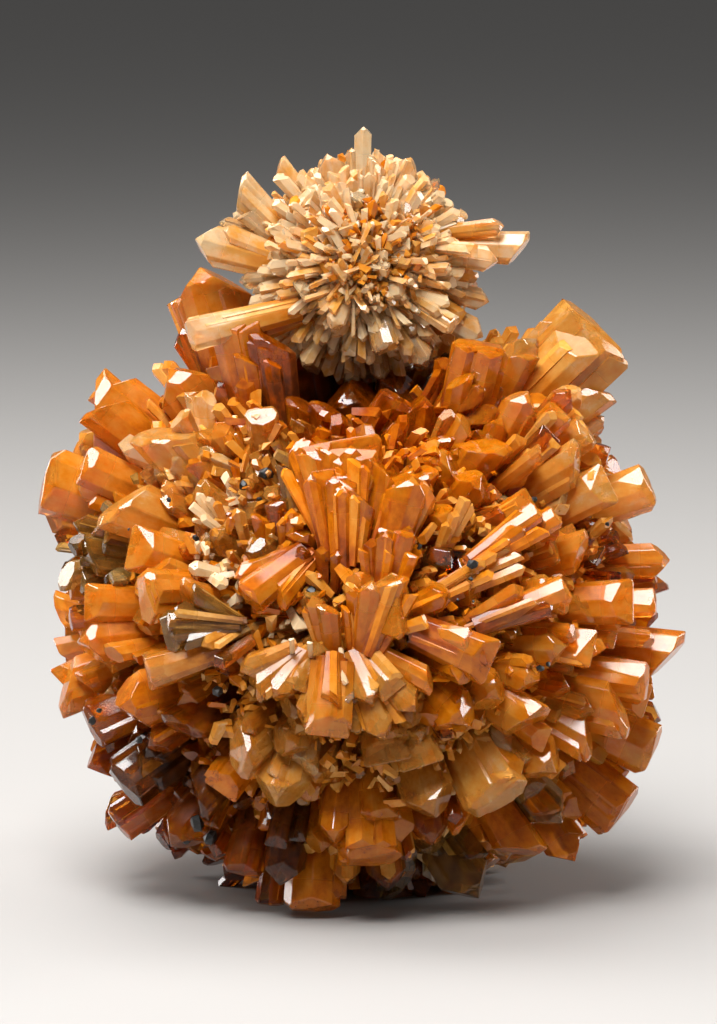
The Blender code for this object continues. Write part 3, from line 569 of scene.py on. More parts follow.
def tip_slope(face):
    """A tip face as (slope across, slope toward the back, level at the axis), before flattening."""
    heading, slope, start = face
    steep = math.tan(math.radians(slope))
    turn = math.radians(heading)
    across = steep * math.cos(turn)
    back = steep * math.sin(turn) * MEAN_FLATNESS
    return across, back, across * math.cos(turn) * start + back * math.sin(turn) * start


def tip_level(form, across, back):
    """How far below the tip the cut faces are at a place in the section, in half widths."""
    levels = []
    for face in TIP_FACES[form]:
        slope_across, slope_back, level = tip_slope(face)
        levels.append(level - slope_across * across - slope_back * back)
    return min(0.0, *levels)


def model_crystal(form, kind):
    """One prism with its tip at the origin: a cylinder cut in edit mode by the flat faces of its tip."""
    deselect_all()
    middle = (0, 0, -MASTER_DEPTH / 2)
    bpy.ops.mesh.primitive_cylinder_add(vertices=SIDES[kind], radius=1, depth=MASTER_DEPTH, location=middle)
    master = bpy.context.object
    bpy.ops.object.transform_apply(location=True)
    bpy.ops.object.mode_set(mode="EDIT")
    for face in TIP_FACES[form]:
        across, back, level = tip_slope(face)
        bpy.ops.mesh.select_all(action="SELECT")
        slant = (across, back, 1)
        bpy.ops.mesh.bisect(plane_co=(0, 0, level), plane_no=slant, use_fill=True, clear_outer=True)
    if kind == "stout":
        bpy.ops.mesh.select_all(action="SELECT")
        bpy.ops.mesh.bevel(offset=EDGE_CUT, segments=1, affect="EDGES")
    bpy.ops.mesh.select_all(action="SELECT")
    bpy.ops.mesh.normals_make_consistent(inside=False)
    bpy.ops.object.mode_set(mode="OBJECT")
    mesh = master.data
    mesh.attributes.new("grain", "FLOAT_VECTOR", "POINT")
    mesh.attributes.new("growth", "FLOAT_COLOR", "POINT")
    bpy.data.objects.remove(master)
    return mesh


FINE_WIDTH = 2.2  # a crystal thinner than this has sharp edges and is milkier
THIN_CLEARNESS = 0.25  # how clear a thin crystal is beside a stout one of its look
GRAIN_SPAN = 90  # each crystal has its own part of the pattern, out of a square this wide
SHORTEST_BODY = 0.1


class Growth:
    """One finished piece: copies of the modelled crystals, each stretched, coloured and put in its place."""

    def __init__(self, masters, thin_clearness=THIN_CLEARNESS):
        self.masters = masters
        self.thin_clearness = thin_clearness
        self.shape = bmesh.new()
        self.count = 0

    def add(self, kind, form, place, width, flatness, length, look, wander, facets=()):
        """One more crystal. place stands it with its tip at its origin, in millimetres."""
        mesh = self.masters[kind][form].copy()
        half = width / 2
        corners = np.empty(len(mesh.vertices) * 3, dtype=np.float32)
        mesh.vertices.foreach_get("co", corners)
        corners = corners.reshape(-1, 3)
        body = corners[:, 2] < SHOULDER
        corners[:, 0:2][body] *= ROOT_TAPER
        corners *= (half, half * flatness, half)
        corners[:, 2][body] = np.minimum(-length, SHOULDER * half - SHORTEST_BODY)
        grain = corners + (wander.uniform(0, GRAIN_SPAN), wander.uniform(0, GRAIN_SPAN), 0)
        mesh.attributes["grain"].data.foreach_set("vector", grain.ravel())
        colour = np.empty((len(corners), 4), dtype=np.float32)
        colour[:] = (*look, 1)
        if width < FINE_WIDTH:
            colour[:, 2] *= self.thin_clearness
        mesh.attributes["growth"].data.foreach_set("color", colour.ravel())
        mesh.vertices.foreach_set("co", corners.ravel())
        mesh.transform(Matrix.Diagonal((MM, MM, MM, 1)) @ place)
        for normal, depth in facets:
            outermost = max(vert.co.dot(normal) for vert in mesh.vertices)
            self.cut_flat(mesh, normal * (outermost - depth * MM), normal)
        if min(vert.co.z for vert in mesh.vertices) < 0:
            self.cut_flat(mesh, Vector(), Vector((0, 0, -1)))
        self.shape.from_mesh(mesh)
        bpy.data.meshes.remove(mesh)
        self.count += 1

    def add_crystal(self, kind, crystal, length, look, wander, facets=()):
        place = stand(crystal)
        self.add(kind, crystal.form, place, crystal.width, crystal.flatness, length, look, wander, facets)

    def cut_flat(self, mesh, where, normal):
        cut = bmesh.new()
        cut.from_mesh(mesh)
        everything = cut.verts[:] + cut.edges[:] + cut.faces[:]
        bmesh.ops.bisect_plane(cut, geom=everything, plane_co=where, plane_no=normal, clear_outer=True)
        bmesh.ops.holes_fill(cut, edges=[edge for edge in cut.edges if edge.is_boundary])
        cut.to_mesh(mesh)
        cut.free()

    def finish(self, name, material):
        """The piece, and a line in the log on how much is in it."""
        mesh = bpy.data.meshes.new(name)
        self.shape.to_mesh(mesh)
        self.shape.free()
        mesh.materials.clear()
        mesh.materials.append(material)
        piece = bpy.data.objects.new(name, mesh)
        bpy.context.scene.collection.objects.link(piece)
        triangles = sum(len(face.vertices) - 2 for face in mesh.polygons)
        print(name, self.count, "crystals", triangles, "triangles")
        return piece


def standing(axis):
    """Rotation that stands a crystal along the axis, with its broad side to the viewer."""
    across = axis.cross(TOWARD_VIEWER)
    if across.length < END_ON:
        across = Vector((1, 0, 0))
    across = (across - axis * across.dot(axis)).normalized()
    return Matrix((across, axis.cross(across), axis)).transposed()


def stand(crystal):
    """Place of a crystal with its tip at the origin, in millimetres."""
    run = crystal.tip - crystal.root
    turn = standing(run.normalized()) @ Matrix.Rotation(math.radians(crystal.roll), 3, "Z")
    return Matrix.Translation(crystal.nucleus + crystal.tip) @ turn.to_4x4()


LOOK_SPREAD = 0.12


def vary(look, wander, spread=LOOK_SPREAD):
    return tuple(min(1.0, max(0.0, value + wander.uniform(-spread, spread))) for value in look)


# Ribs, the thinner crystals grown along a crystal's sides: where they stand in its half widths, how far
# their tips are from its own faces, how often one ends far lower and by what share of the length, and how
# they differ from it
RIB_OFF_AXIS = (0.3, 0.76)
RIB_STEP = (-0.5, 0.12)
LOW_RIB_CHANCE = 0.35
LOW_RIB_DROP = (0.1, 0.4)
RIB_WIDTH = (0.3, 0.56)
RIB_LEAN_DEG = 1.5
RIB_FLATNESS = (0.6, 0.95)
RIB_SPREAD = 0.03
SLIM_RIB_WIDTH = 1.4


def grow_crystal(piece, crystal, look, wander, ribs, facets=()):
    """A crystal with ribs along its sides, parallel to it, so that its faces and tip are stepped."""
    length = (crystal.tip - crystal.root).length * (1 - ROOT_SHARE)
    place = stand(crystal)
    half = crystal.width / 2
    kind = "stout" if crystal.width > FINE_WIDTH else "slim"
    piece.add_crystal(kind, crystal, length, look, wander, facets)
    for _ in range(ribs):
        bearing = wander.uniform(0, math.tau)
        off = wander.uniform(*RIB_OFF_AXIS)
        across, back = off * math.cos(bearing), off * math.sin(bearing)
        level = tip_level(crystal.form, across, back) * half + wander.uniform(*RIB_STEP)
        if wander.random() < LOW_RIB_CHANCE:
            level -= wander.uniform(*LOW_RIB_DROP) * length
        width = crystal.width * wander.uniform(*RIB_WIDTH)
        step = Matrix.Translation((across * half, back * half * crystal.flatness, level))
        lean = Matrix.Rotation(math.radians(wander.uniform(-RIB_LEAN_DEG, RIB_LEAN_DEG)), 4, "Y")
        kind = "slim" if width > SLIM_RIB_WIDTH else "fine"
        flatness = wander.uniform(*RIB_FLATNESS)
        rib_look = vary(look, wander, RIB_SPREAD)
        piece.add(kind, crystal.form, place @ step @ lean, width, flatness, length + level, rib_look, wander)


# Branches, the thinner crystals round a crystal: their width beside its own, and how much shorter they are
LARGE_BRANCH = dict(width=(0.4, 0.72), shorter=(1.2, 6.0))
LAID_BRANCH = dict(width=(0.4, 0.7), shorter=(0.5, 2.5))
SMALL_BRANCH = dict(width=(0.45, 0.8), shorter=(0.8, 4.0))
BRANCH_TILT_DEG = (3, 11)
BRANCH_ROLL_DEG = 40
BRANCH_FORMS = ("roof", "high_left", "high_right", "chisel", "spear", "roof", "high_left", "blunt")
RIBBED_WIDTH = 2


def fan_out(piece, crystal, look, wander, count, branch, shut_out=None):
    """Branches that spring from a crystal's root and spread around it, but no tip where shut_out says so."""
    run = crystal.tip - crystal.root
    for _ in range(count):
        tilt = Matrix.Rotation(math.radians(wander.uniform(*BRANCH_TILT_DEG)), 3, run.orthogonal())
        spin = Matrix.Rotation(wander.uniform(0, math.tau), 3, run)
        reach = (spin @ tilt @ run.normalized()) * (run.length - wander.uniform(*branch["shorter"]))
        if shut_out and shut_out(crystal.root + reach):
            continue
        thinner = crystal._replace(
            tip=crystal.root + reach,
            width=crystal.width * wander.uniform(*branch["width"]),
            roll=crystal.roll + wander.uniform(-BRANCH_ROLL_DEG, BRANCH_ROLL_DEG),
            form=wander.choice(BRANCH_FORMS),
        )
        ribs = 2 if thinner.width > RIBBED_WIDTH else 0
        grow_crystal(piece, thinner, vary(look, wander), wander, ribs)


# The dark hollow that is seen below the small ball: its width, its foot up from the large ball's nucleus,
# and how far beside it, from where up and by how much painted shade darkens the crystals' colour toward it
HOLLOW_WIDTH = 19.0
HOLLOW_FOOT = 22.8
SHADE_BESIDE = 1
SHADE_FOOT = 19.0
PAINTED_HOLLOW_SHADE = 0.6


def in_hollow(tip):
    spot = on_view(tip)
    return tip.dot(TOWARD_VIEWER) > 0 and abs(spot.x) < HOLLOW_WIDTH / 2 and spot.y > HOLLOW_FOOT


def with_painted_shade(look, tip):
    """The look with painted shade: darker near the hollow, where no light comes through the crystals from
    behind.
    """
    spot = on_view(tip)
    if tip.dot(TOWARD_VIEWER) < 0 or abs(spot.x) > HOLLOW_WIDTH / 2 + SHADE_BESIDE:
        return look
    near = min(1.0, max(0.0, (spot.y - SHADE_FOOT) / (HOLLOW_FOOT - SHADE_FOOT)))
    # painted shade: the tone is lowered toward the hollow
    return (look[0] * (1 - PAINTED_HOLLOW_SHADE * near), *look[1:])


class Palette:
    """The looks of a ball: those of the crystals that are given one, and the usual ones for the others."""

    def __init__(self, crystals, usual, near_deg, near_share):
        self.known = [(crystal.tip.normalized(), crystal.look) for crystal in crystals if crystal.look]
        self.usual = [LOOKS[code] for code in usual]
        self.nearest = math.cos(math.radians(near_deg))
        self.near_share = near_share

    def pick(self, direction, wander):
        """Mostly the look of a near crystal, varied, or else a usual one."""
        near, look = max((direction.dot(other), other_look) for other, other_look in self.known)
        if near > self.nearest and wander.random() < self.near_share:
            return vary(look, wander)
        return vary(wander.choice(self.usual), wander)


# By the direction of its tip, a crystal of the large ball belongs to one of six pieces
LARGE_PIECES = ("crown", "left_flank", "right_flank", "skirt", "back", "face")
FACE_LEAN = 0.72
CROWN_RISE = 0.42
BACK_LEAN = -0.35


def piece_name(direction):
    forward = direction.dot(TOWARD_VIEWER)
    if forward > FACE_LEAN:
        return "face"
    if direction.z > CROWN_RISE:
        return "crown"
    if direction.z < -CROWN_RISE:
        return "skirt"
    if forward < BACK_LEAN:
        return "back"
    return "left_flank" if direction.x < 0 else "right_flank"


BRIGHT_WIDTH = 8.5  # a wider crystal has no facet that catches the light
BRIGHT_DEPTH = 0.42  # of the depth given in BRIGHT_FACETS
KEY_PLACE = (-0.1, -0.36, 0.62)  # of the main light, in metres


def bright_facets(crystals):
    """For each crystal that shows one, the planes of the facets that turn the main light to the viewer."""
    facets = {}
    slender = [crystal for crystal in crystals if crystal.width < BRIGHT_WIDTH]
    for right, up, depth in BRIGHT_FACETS:
        nearest = min(slender, key=lambda crystal: (on_view(crystal.tip) - Vector((right, up))).length)
        spot = LOWER + nearest.tip
        normal = ((EYE - spot).normalized() + (Vector(KEY_PLACE) / MM - spot).normalized()).normalized()
        facets.setdefault(id(nearest), []).append((normal, depth * BRIGHT_DEPTH))
    return facets


RIBS_PER_MM = 0.7
BRANCH_EVERY = 3.5  # of a crystal's width, for each branch past two
LAID_RIBS_PER_MM = 0.8
BRANCHED_WIDTH = 1.8  # a laid crystal wider than this has a branch


def grow_large_ball(large, crystals, laid_crystals, palette, wander):
    """The stout crystals of the large ball and those laid on its near side, with their ribs and branches."""
    facets = bright_facets([crystal for crystal in crystals if crystal.look] + laid_crystals)
    for crystal in crystals:
        direction = crystal.tip.normalized()
        piece = large[piece_name(direction)]
        look = with_painted_shade(crystal.look or palette.pick(direction, wander), crystal.tip)
        ribs = int(crystal.width * RIBS_PER_MM)
        grow_crystal(piece, crystal, look, wander, ribs, facets.get(id(crystal), ()))
        branches = 2 + int(crystal.width / BRANCH_EVERY)
        fan_out(piece, crystal, look, wander, branches, LARGE_BRANCH, in_hollow)
    for crystal in laid_crystals:
        ribs = int(crystal.width * LAID_RIBS_PER_MM)
        grow_crystal(large["face"], crystal, crystal.look, wander, ribs, facets.get(id(crystal), ()))
        if crystal.width > BRANCHED_WIDTH:
            fan_out(large["face"], crystal, crystal.look, wander, 1, LAID_BRANCH)


# Local sprays on the sides that the photo doesn't show, each from its own centre inside the large ball
SPRAYS = 70
SPRAY_CENTRE = (24.0, 26.5)
SPRAY_LEAN = 0.5  # none is more toward the viewer than this
SPRAY_MIDDLE = 1.3  # times as far out as its centre
SPRAY_CLEARANCE = 15  # of the middle from the small ball's nucleus
SPRAY_CRYSTALS = (9, 13)
SPRAY_TILT_DEG = (22, 68)
SPRAY_STEP = (8.0, 12.0)
SPRAY_WIDTH = (1.8, 4.4)
SPRAY_LENGTH = 16
ANY_ROLL_DEG = (-90, 90)
FINE_FORMS = ("roof", "high_left", "high_right", "chisel", "spear")


def grown_anyhow(nucleus, root, tip, width, flatness, wander):
    """A crystal that is turned anyhow, with no look of its own."""
    section = wander.uniform(*flatness)
    roll = wander.uniform(*ANY_ROLL_DEG)
    return Crystal(nucleus, root, tip, width, section, roll, wander.choice(FINE_FORMS), None)


def grow_sprays(large, palette, wander):
    """Each spray has one look, a little different in each of its crystals."""
    for direction in spread_evenly(SPRAYS):
        centre = direction * wander.uniform(*SPRAY_CENTRE)
        too_near = near_small_ball(centre * SPRAY_MIDDLE, SPRAY_CLEARANCE)
        if direction.dot(TOWARD_VIEWER) > SPRAY_LEAN or too_near:
            continue
        look = palette.pick(direction, wander)
        for _ in range(wander.randint(*SPRAY_CRYSTALS)):
            tilt = Matrix.Rotation(math.radians(wander.uniform(*SPRAY_TILT_DEG)), 3, direction.orthogonal())
            axis = Matrix.Rotation(wander.uniform(0, math.tau), 3, direction) @ tilt @ direction
            tip = centre + axis * wander.uniform(*SPRAY_STEP)
            width = wander.uniform(*SPRAY_WIDTH)
            crystal = grown_anyhow(LOWER, tip - axis * SPRAY_LENGTH, tip, width, FLATNESS, wander)
            grow_crystal(large[piece_name(direction)], crystal, vary(look, wander), wander, 1)


# Fine crystals all over a ball: end_on_thinner is how much thinner they are where the viewer sees their tips
LARGE_FINE = dict(
    count=3200, sway=0.06, reach=(27.0, 33.0), front_spring=FRONT_SPRING, root_sway=7,
    width=(1.1, 3.2), end_on_thinner=0, slim_width=1.8, length=8.0,
)
SMALL_FINE = dict(
    count=1700, sway=0.1, reach=(10.4, 13.6), front_spring=0.74, root_sway=2.0,
    width=(1.0, 2.5), end_on_thinner=0.5, slim_width=1.5, length=7.5,
)
FINE_FLATNESS = (0.5, 0.9)
FINE_CLEARANCE = 14


def any_way(wander):
    return Vector((wander.uniform(-1, 1), wander.uniform(-1, 1), wander.uniform(-1, 1)))


def keeps_out(place):
    """Whether fine crystals and chips of the large ball keep out of a place."""
    return near_small_ball(place, FINE_CLEARANCE) or in_hollow(place)


def fine_crystals(nucleus, fine, wander, shut_out=None):
    """Fine crystals all over a ball, each with its direction."""
    for direction in spread_evenly(fine["count"]):
        sway = any_way(wander)
        axis = (direction + sway * fine["sway"]).normalized()
        reach = wander.uniform(*fine["reach"])
        if shut_out and shut_out(axis * reach):
            continue
        forward = axis.dot(TOWARD_VIEWER)
        root = seen(0, 0, fine["front_spring"] * forward * reach) + sway * fine["root_sway"]
        width = wander.uniform(*fine["width"]) * (1 - fine["end_on_thinner"] * abs(forward))
        yield axis, grown_anyhow(nucleus, root, axis * reach, width, FINE_FLATNESS, wander)


def add_fine(piece, fine, crystal, look, wander):
    kind = "slim" if crystal.width > fine["slim_width"] else "fine"
    piece.add_crystal(kind, crystal, fine["length"], look, wander)


# Chips, broken short crystals that lie at all angles: more and finer ones where the viewer sees the tips
CHIP_COUNT = 2600
CHIP_REACH = (28.0, 31.5)
CHIP_RISE = 2.2  # how much farther out they lie on the near side
CHIP_WIDTH = (0.7, 2.0)
FACE_CHIP_COUNT = 7000
FACE_CHIP_REACH = (30.5, 34.0)
FACE_CHIP_WIDTH = (0.5, 1.4)
FACE_CHIP_LEAN = 0.8
SMALL_CHIP_COUNT = 2600
SMALL_CHIP_REACH = (11.0, 12.8)
SMALL_CHIP_WIDTH = (0.5, 1.3)
SMALL_CHIP_MIDDLE = (0.12, 0.1, 1)
SMALL_CHIP_LEAN = 0.87
SMALL_CHIP_LOOKS = "uugt"
CHIP_SWAY = 0.9
CHIP_FLATNESS = (0.6, 0.95)
CHIP_LENGTH = 2.0  # in its widths


def add_chip(piece, nucleus, direction, reach, width, look, wander):
    root = direction * reach - (direction + any_way(wander) * CHIP_SWAY).normalized()
    chip = grown_anyhow(nucleus, root, direction * reach, width, CHIP_FLATNESS, wander)
    piece.add_crystal("fine", chip, CHIP_LENGTH * width, look, wander)


def scatter_chips(piece, palette, wander):
    """Chips all over the large ball, then more on its near side."""
    for direction in spread_evenly(CHIP_COUNT):
        forward = max(0.0, direction.dot(TOWARD_VIEWER))
        reach = wander.uniform(*CHIP_REACH) + CHIP_RISE * forward
        if keeps_out(direction * reach):
            continue
        width = wander.uniform(*CHIP_WIDTH)
        look = with_painted_shade(palette.pick(direction, wander), direction * reach)
        add_chip(piece, LOWER, direction, reach, width, look, wander)
    for direction in spread_evenly(FACE_CHIP_COUNT):
        if direction.dot(TOWARD_VIEWER) > FACE_CHIP_LEAN:
            reach = wander.uniform(*FACE_CHIP_REACH)
            width = wander.uniform(*FACE_CHIP_WIDTH)
            look = with_painted_shade(palette.pick(direction, wander), direction * reach)
            add_chip(piece, LOWER, direction, reach, width, look, wander)


SMALL_THIN_CLEARNESS = 0.6
SMALL_RIBS = 3
SMALL_BRANCHED_WIDTH = 3.5  # a wider crystal of the small ball has one branch, the others three
OLIVE_BELOW = -0.35
OLIVE_SPREAD = 0.3


def small_ball_look(palette, direction, wander):
    """Olive glass low down on the small ball, and peach above, with no sharp line between."""
    low = direction.z + wander.uniform(-OLIVE_SPREAD, OLIVE_SPREAD)
    if low < OLIVE_BELOW:
        return vary(LOOKS["v"], wander)
    return palette.pick(direction, wander)


def grow_small_ball(small, crystals, palette, wander):
    """The crystals of the small ball, the fine ones between them and the chips about its middle."""
    for crystal in crystals:
        look = crystal.look or small_ball_look(palette, crystal.tip.normalized(), wander)
        grow_crystal(small, crystal, look, wander, SMALL_RIBS)
        branches = 1 if crystal.width > SMALL_BRANCHED_WIDTH else 3
        fan_out(small, crystal, look, wander, branches, SMALL_BRANCH)
    for axis, crystal in fine_crystals(UPPER, SMALL_FINE, wander):
        add_fine(small, SMALL_FINE, crystal, small_ball_look(palette, axis, wander), wander)
    middle = seen(*SMALL_CHIP_MIDDLE)
    for direction in spread_evenly(SMALL_CHIP_COUNT):
        if abs(direction.dot(middle)) > SMALL_CHIP_LEAN:
            look = vary(LOOKS[wander.choice(SMALL_CHIP_LOOKS)], wander)
            reach = wander.uniform(*SMALL_CHIP_REACH)
            width = wander.uniform(*SMALL_CHIP_WIDTH)
            add_chip(small, UPPER, direction, reach, width, look, wander)


GRAIN_BREAKS = ((1, 0.3, 0.4), (-0.4, 0.9, 0.2), (0.1, -0.8, 0.6))  # which way each broken face points
GRAIN_BREAK_LEVEL = 0.34
GRAIN_SHARE = 0.75  # of the dark spot's width, the rest of which is shade round the grain
GRAIN_SECTION = (0.6, 1)
GRAIN_HEIGHT = (0.7, 1.3)
SCATTERED_GRAINS = 260
SCATTERED_CHANCE = 0.5
SCATTERED_REACH = (28.5, 31.0)
SCATTERED_WIDTH = (0.3, 0.9)


def model_grain():
    """A lump a millimetre wide with three broken faces."""
    deselect_all()
    bpy.ops.mesh.primitive_ico_sphere_add(subdivisions=1, radius=0.5)
    grain = bpy.context.object
    bpy.ops.object.mode_set(mode="EDIT")
    for side in GRAIN_BREAKS:
        bpy.ops.mesh.select_all(action="SELECT")
        middle = Vector(side).normalized() * GRAIN_BREAK_LEVEL
        bpy.ops.mesh.bisect(plane_co=middle, plane_no=side, use_fill=True, clear_outer=True)
    bpy.ops.object.mode_set(mode="OBJECT")
    return grain


def add_black_grains(wander):
    """Black grains that sit between the crystals, some seen and some scattered."""
    grain = model_grain()
    places = [(on_line_of_sight(LOWER, *where), width * GRAIN_SHARE) for *where, width in BLACK_GRAINS]
    for direction in spread_evenly(SCATTERED_GRAINS):
        if wander.random() < SCATTERED_CHANCE:
            places.append((direction * wander.uniform(*SCATTERED_REACH), wander.uniform(*SCATTERED_WIDTH)))
    shape = bmesh.new()
    for spot, size in places:
        mesh = grain.data.copy()
        angle = wander.uniform(0, math.tau)
        turn = Matrix.Rotation(angle, 4, Vector((wander.random(), wander.random(), 0.5)))
        section = size * wander.uniform(*GRAIN_SECTION)
        stretch = Matrix.Diagonal((size, section, size * wander.uniform(*GRAIN_HEIGHT), 1))
        mesh.transform(Matrix.Diagonal((MM, MM, MM, 1)) @ Matrix.Translation(LOWER + spot) @ turn @ stretch)
        if min(vert.co.z for vert in mesh.vertices) > 0:
            shape.from_mesh(mesh)
        bpy.data.meshes.remove(mesh)
    bpy.data.objects.remove(grain)
    mesh = bpy.data.meshes.new("black_grains")
    shape.to_mesh(mesh)
    shape.free()
    mesh.materials.append(black_grain_material())
    piece = bpy.data.objects.new("black_grains", mesh)
    bpy.context.scene.collection.objects.link(piece)
    return piece


# The inside of each ball, where its crystals have grown together: radius, the share of the upper half's
# height that is left, so that it stays below the tips, and its two colours
# the large ball's dark colours are painted shade of the deep gaps between its crystals
LARGE_INSIDE = (26.2, 0.8, "#2A1404", "#8A4810")
SMALL_INSIDE = (9.6, 1.0, "#B87838", "#E8BC80")


def add_inside(name, nucleus, inside, material_name):
    radius, top_share, dark, bright = inside
    deselect_all()
    bpy.ops.mesh.primitive_ico_sphere_add(subdivisions=4, radius=radius * MM, location=nucleus * MM)
    mass = bpy.context.object
    mass.name = name
    bpy.ops.object.transform_apply(location=True)
    level = nucleus.z * MM
    for vert in mass.data.vertices:
        if vert.co.z > level:
            vert.co.z = level + (vert.co.z - level) * top_share
    mass.data.materials.append(inside_material(material_name, dark, bright))
    return mass


def build_cluster():
    masters = {kind: {form: model_crystal(form, kind) for form in TIP_FACES} for kind in SIDES}
    lower_crystals, upper_crystals = stout_crystals()
    wander = random.Random(SEED)
    laid_crystals = list(laid(LAID, wander))

    large = {name: Growth(masters) for name in LARGE_PIECES}
    palette = Palette(lower_crystals + laid_crystals, "ooooddpptya", near_deg=14, near_share=0.8)
    grow_large_ball(large, lower_crystals, laid_crystals, palette, wander)
    grow_sprays(large, palette, wander)

    fine = Growth(masters)
    for axis, crystal in fine_crystals(LOWER, LARGE_FINE, wander, keeps_out):
        add_fine(fine, LARGE_FINE, crystal, with_painted_shade(palette.pick(axis, wander), crystal.tip), wander)
    scatter_chips(fine, palette, wander)

    small = Growth(masters, SMALL_THIN_CLEARNESS)
    pale_palette = Palette(upper_crystals, "uuuuucg", near_deg=20, near_share=0.6)
    grow_small_ball(small, upper_crystals, pale_palette, wander)

    creedite = creedite_material()
    pieces = [growth.finish(name + "_crystals", creedite) for name, growth in large.items()]
    pieces += [
        fine.finish("fine_crystals", creedite),
        small.finish("pale_ball", creedite),
        # its dark colours are painted shade of the gaps between the crystals
        add_inside("large_ball_inside", LOWER, LARGE_INSIDE, "grown_together_creedite"),
        add_inside("small_ball_inside", UPPER, SMALL_INSIDE, "pale_grown_together_creedite"),
        add_black_grains(wander),
    ]
    for piece in pieces:
        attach(piece, "root")
        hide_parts("creedite_cluster")


def linear(hex_colour):
    """An sRGB hex colour as linear red, green, blue and alpha."""
    values = [int(hex_colour[i : i + 2], 16) / 255 for i in (1, 3, 5)]
    return (*(v / 12.92 if v <= 0.04045 else ((v + 0.055) / 1.055) ** 2.4 for v in values), 1)


def add_node(tree, kind, settings, inputs):
    """A node with its settings, and its inputs by name or number: a value, or the socket that feeds it."""
    node = tree.nodes.new(kind)
    for name, value in settings.items():
        setattr(node, name, value)
    for key, value in inputs.items():
        if isinstance(value, bpy.types.NodeSocket):
            tree.links.new(value, node.inputs[key])
        else:
            node.inputs[key].default_value = value
    return node


def new_material(name):
    material = bpy.data.materials.new(name)
    material.use_nodes = True
    return material, material.node_tree, material.node_tree.nodes["Principled BSDF"].inputs


# Colour of the creedite from dark to pale, where it is stained by iron and where it isn't
IRON_STAINED = ((0.0, "#602802"), (0.22, "#B85204"), (0.48, "#EE8A10"), (0.76, "#F8AE44"), (1.0, "#FCDCAA"))
UNSTAINED = ((0.0, "#1A1208"), (0.28, "#7C5620"), (0.52, "#BC8C40"), (0.76, "#E0BE7C"), (1.0, "#F6E6C4"))


def colour_band(tree, shade, stops):
    ramp = add_node(tree, "ShaderNodeValToRGB", {}, {"Fac": shade})
    band = ramp.color_ramp
    while len(band.elements) < len(stops):
        band.elements.new(0.5)
    for element, (where, colour) in zip(band.elements, stops):
        element.position = where
        element.color = linear(colour)
    return ramp.outputs["Color"]


def creedite_material():
    """Creedite as it grew: bright end faces, and duller sides over a milky orange inside, with painted shade
    toward the roots.
    """
    material, tree, surface = new_material("natural_creedite")
    grain = add_node(tree, "ShaderNodeAttribute", {"attribute_name": "grain"}, {}).outputs["Vector"]
    growth = add_node(tree, "ShaderNodeAttribute", {"attribute_name": "growth"}, {}).outputs["Color"]
    parts = add_node(tree, "ShaderNodeSeparateColor", {}, {"Color": growth}).outputs
    tone, warmth, clearness = parts["Red"], parts["Green"], parts["Blue"]
    along = add_node(tree, "ShaderNodeSeparateXYZ", {}, {"Vector": grain}).outputs["Z"]

    # growth lines 0.4 mm apart along the crystal, and clouds 2 mm wide with finer ones in them
    along_lines = {"Vector": grain, "Scale": (2.4, 2.4, 0.14)}
    line_place = add_node(tree, "ShaderNodeMapping", {}, along_lines).outputs[0]
    growth_lines = {"Vector": line_place, "Scale": 1.0, "Detail": 2.0}
    lines = add_node(tree, "ShaderNodeTexNoise", {}, growth_lines).outputs[0]
    about_clouds = {"Vector": grain, "Scale": (0.6, 0.6, 0.4)}
    cloud_place = add_node(tree, "ShaderNodeMapping", {}, about_clouds).outputs[0]
    milky_clouds = {"Vector": cloud_place, "Scale": 1.0, "Detail": 4.0, "Roughness": 0.68}
    clouds = add_node(tree, "ShaderNodeTexNoise", {}, milky_clouds).outputs[0]

    # paler and clearer in the last 5 mm, and darker toward the root: painted shade of the crowded roots
    # between the crystals
    smooth = {"interpolation_type": "SMOOTHSTEP"}
    tip_span = {"Value": along, "From Min": -5.5, "From Max": -0.3, "To Min": 0.0, "To Max": 1.0}
    near_tip = add_node(tree, "ShaderNodeMapRange", smooth, tip_span).outputs[0]
    root_shade_span = {"Value": along, "From Min": -13.0, "From Max": -3.0, "To Min": 1.0, "To Max": 0.0}
    painted_root_shade = add_node(tree, "ShaderNodeMapRange", smooth, root_shade_span).outputs[0]

    def sum_up(start, shares, settings):
        total = start
        for value, share in shares:
            total = add_node(tree, "ShaderNodeMath", settings, {0: value, 1: share, 2: total}).outputs[0]
        return total

    # the shade of the colour: tone, growth lines, milky clouds, paler tips, and painted shade toward the
    # root
    darker = add_node(tree, "ShaderNodeMath", {"operation": "ADD"}, {0: tone, 1: -0.48}).outputs[0]
    shares = ((lines, 0.1), (clouds, 0.84), (near_tip, 0.06), (painted_root_shade, -0.4))
    shade = sum_up(darker, shares, {"operation": "MULTIPLY_ADD"})
    warm = colour_band(tree, shade, IRON_STAINED)
    cool = colour_band(tree, shade, UNSTAINED)
    mixed = add_node(tree, "ShaderNodeMix", {"data_type": "RGBA"}, {0: warmth, 6: cool, 7: warm}).outputs[2]
    shares = ((clearness, 0.9), (near_tip, 0.12))
    glassy = sum_up(0.12, shares, {"operation": "MULTIPLY_ADD", "use_clamp": True})

    # the end faces shine, and the sides are dull with lines too fine to see, less so on a clear crystal
    side_span = {"Value": along, "From Min": -3.4, "From Max": -1.6, "To Min": 0.42, "To Max": 0.08}
    dullness = add_node(tree, "ShaderNodeMapRange", {}, side_span).outputs[0]
    milky = add_node(tree, "ShaderNodeMath", {"operation": "SUBTRACT"}, {0: 1.15, 1: clearness}).outputs[0]
    rough = add_node(tree, "ShaderNodeMath", {"operation": "MULTIPLY"}, {0: dullness, 1: milky}).outputs[0]
    tree.links.new(mixed, surface["Base Color"])
    tree.links.new(glassy, surface["Transmission Weight"])
    tree.links.new(rough, surface["Roughness"])
    surface["IOR"].default_value = 1.46
    surface["Specular IOR Level"].default_value = 0.35
    return material


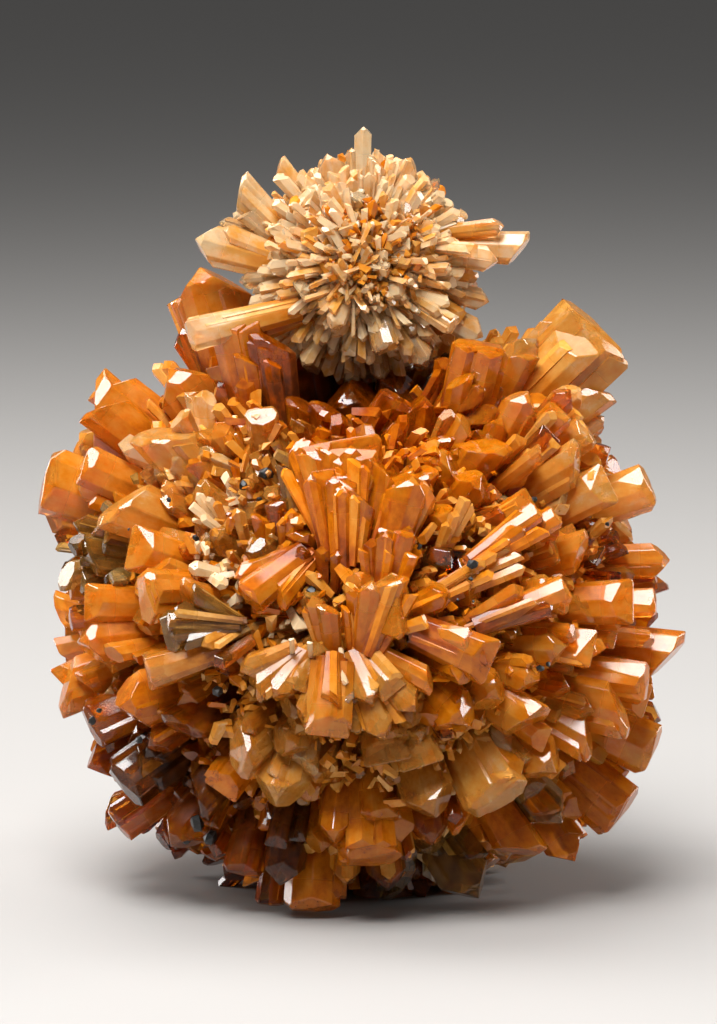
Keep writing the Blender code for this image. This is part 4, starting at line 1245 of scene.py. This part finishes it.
def inside_material(name, dark, bright):
    """Milky creedite with stains 4 mm wide, in the two colours given; the large ball's dark ones are painted
    shade of the gaps between its crystals. It only shows as an uneven ground between the crystals.
    """
    material, tree, surface = new_material(name)
    place = add_node(tree, "ShaderNodeTexCoord", {}, {}).outputs["Object"]
    stain_pattern = {"Vector": place, "Scale": 260.0, "Detail": 3.0}
    stains = add_node(tree, "ShaderNodeTexNoise", {}, stain_pattern).outputs["Fac"]
    tree.links.new(colour_band(tree, stains, ((0.38, dark), (0.6, bright))), surface["Base Color"])
    surface["Roughness"].default_value = 0.4
    return material


def plain_material(name, colour, roughness):
    material, _, surface = new_material(name)
    surface["Base Color"].default_value = linear(colour)
    surface["Roughness"].default_value = roughness
    return material


def black_grain_material():
    """Black grains with broken faces, which gleam softly."""
    return plain_material("black_mineral_grains", "#0C0906", 0.42)


# Soft lights: place, width and height in metres, and power in watts
LIGHTS = {
    "key": (KEY_PLACE, (0.36, 0.3), 8.2),
    "overhead": ((-0.12, 0.1, 0.6), (0.5, 0.4), 4.0),
    "left_rim": ((-0.45, 0.2, 0.2), (0.2, 0.4), 2.4),
    "right_rim": ((0.5, 0.15, 0.2), (0.2, 0.4), 2.4),
}
SURROUND_COLOUR = "#C9C9C9"
SURROUND_STRENGTH = 0.22
FLOOR_SIZE = 6.0
LENS = 184
VIEW_END = 20


def add_light(name, place, size, power, aim):
    lamp = bpy.data.lights.new(name, "AREA")
    lamp.shape = "RECTANGLE"
    lamp.size, lamp.size_y = size
    lamp.energy = power
    light = bpy.data.objects.new(name, lamp)
    bpy.context.scene.collection.objects.link(light)
    light.location = place
    light.rotation_euler = (aim - light.location).to_track_quat("-Z", "Y").to_euler()


def add_studio():
    """A pale floor of matt board, soft lights and the camera."""
    deselect_all()
    bpy.ops.mesh.primitive_plane_add(size=FLOOR_SIZE)
    floor = bpy.context.object
    floor.name = "floor"
    floor.data.materials.append(plain_material("pale_floor", "#9E9B98", 0.6))

    scene = bpy.context.scene
    world = bpy.data.worlds.new("studio")
    world.use_nodes = True
    background = world.node_tree.nodes["Background"].inputs
    background["Color"].default_value = linear(SURROUND_COLOUR)
    background["Strength"].default_value = SURROUND_STRENGTH
    scene.world = world
    scene.view_settings.view_transform = "Standard"

    aim = Vector((0, 0, VIEW_LEVEL * MM))
    for name, (place, size, power) in LIGHTS.items():
        add_light(name, place, size, power, aim)

    camera = bpy.data.objects.new("camera", bpy.data.cameras.new("camera"))
    scene.collection.objects.link(camera)
    camera.data.lens = LENS
    camera.data.clip_end = VIEW_END
    camera.location = EYE * MM
    camera.rotation_euler = (aim - camera.location).to_track_quat("-Z", "Y").to_euler()
    scene.camera = camera


build_cluster()
add_studio()
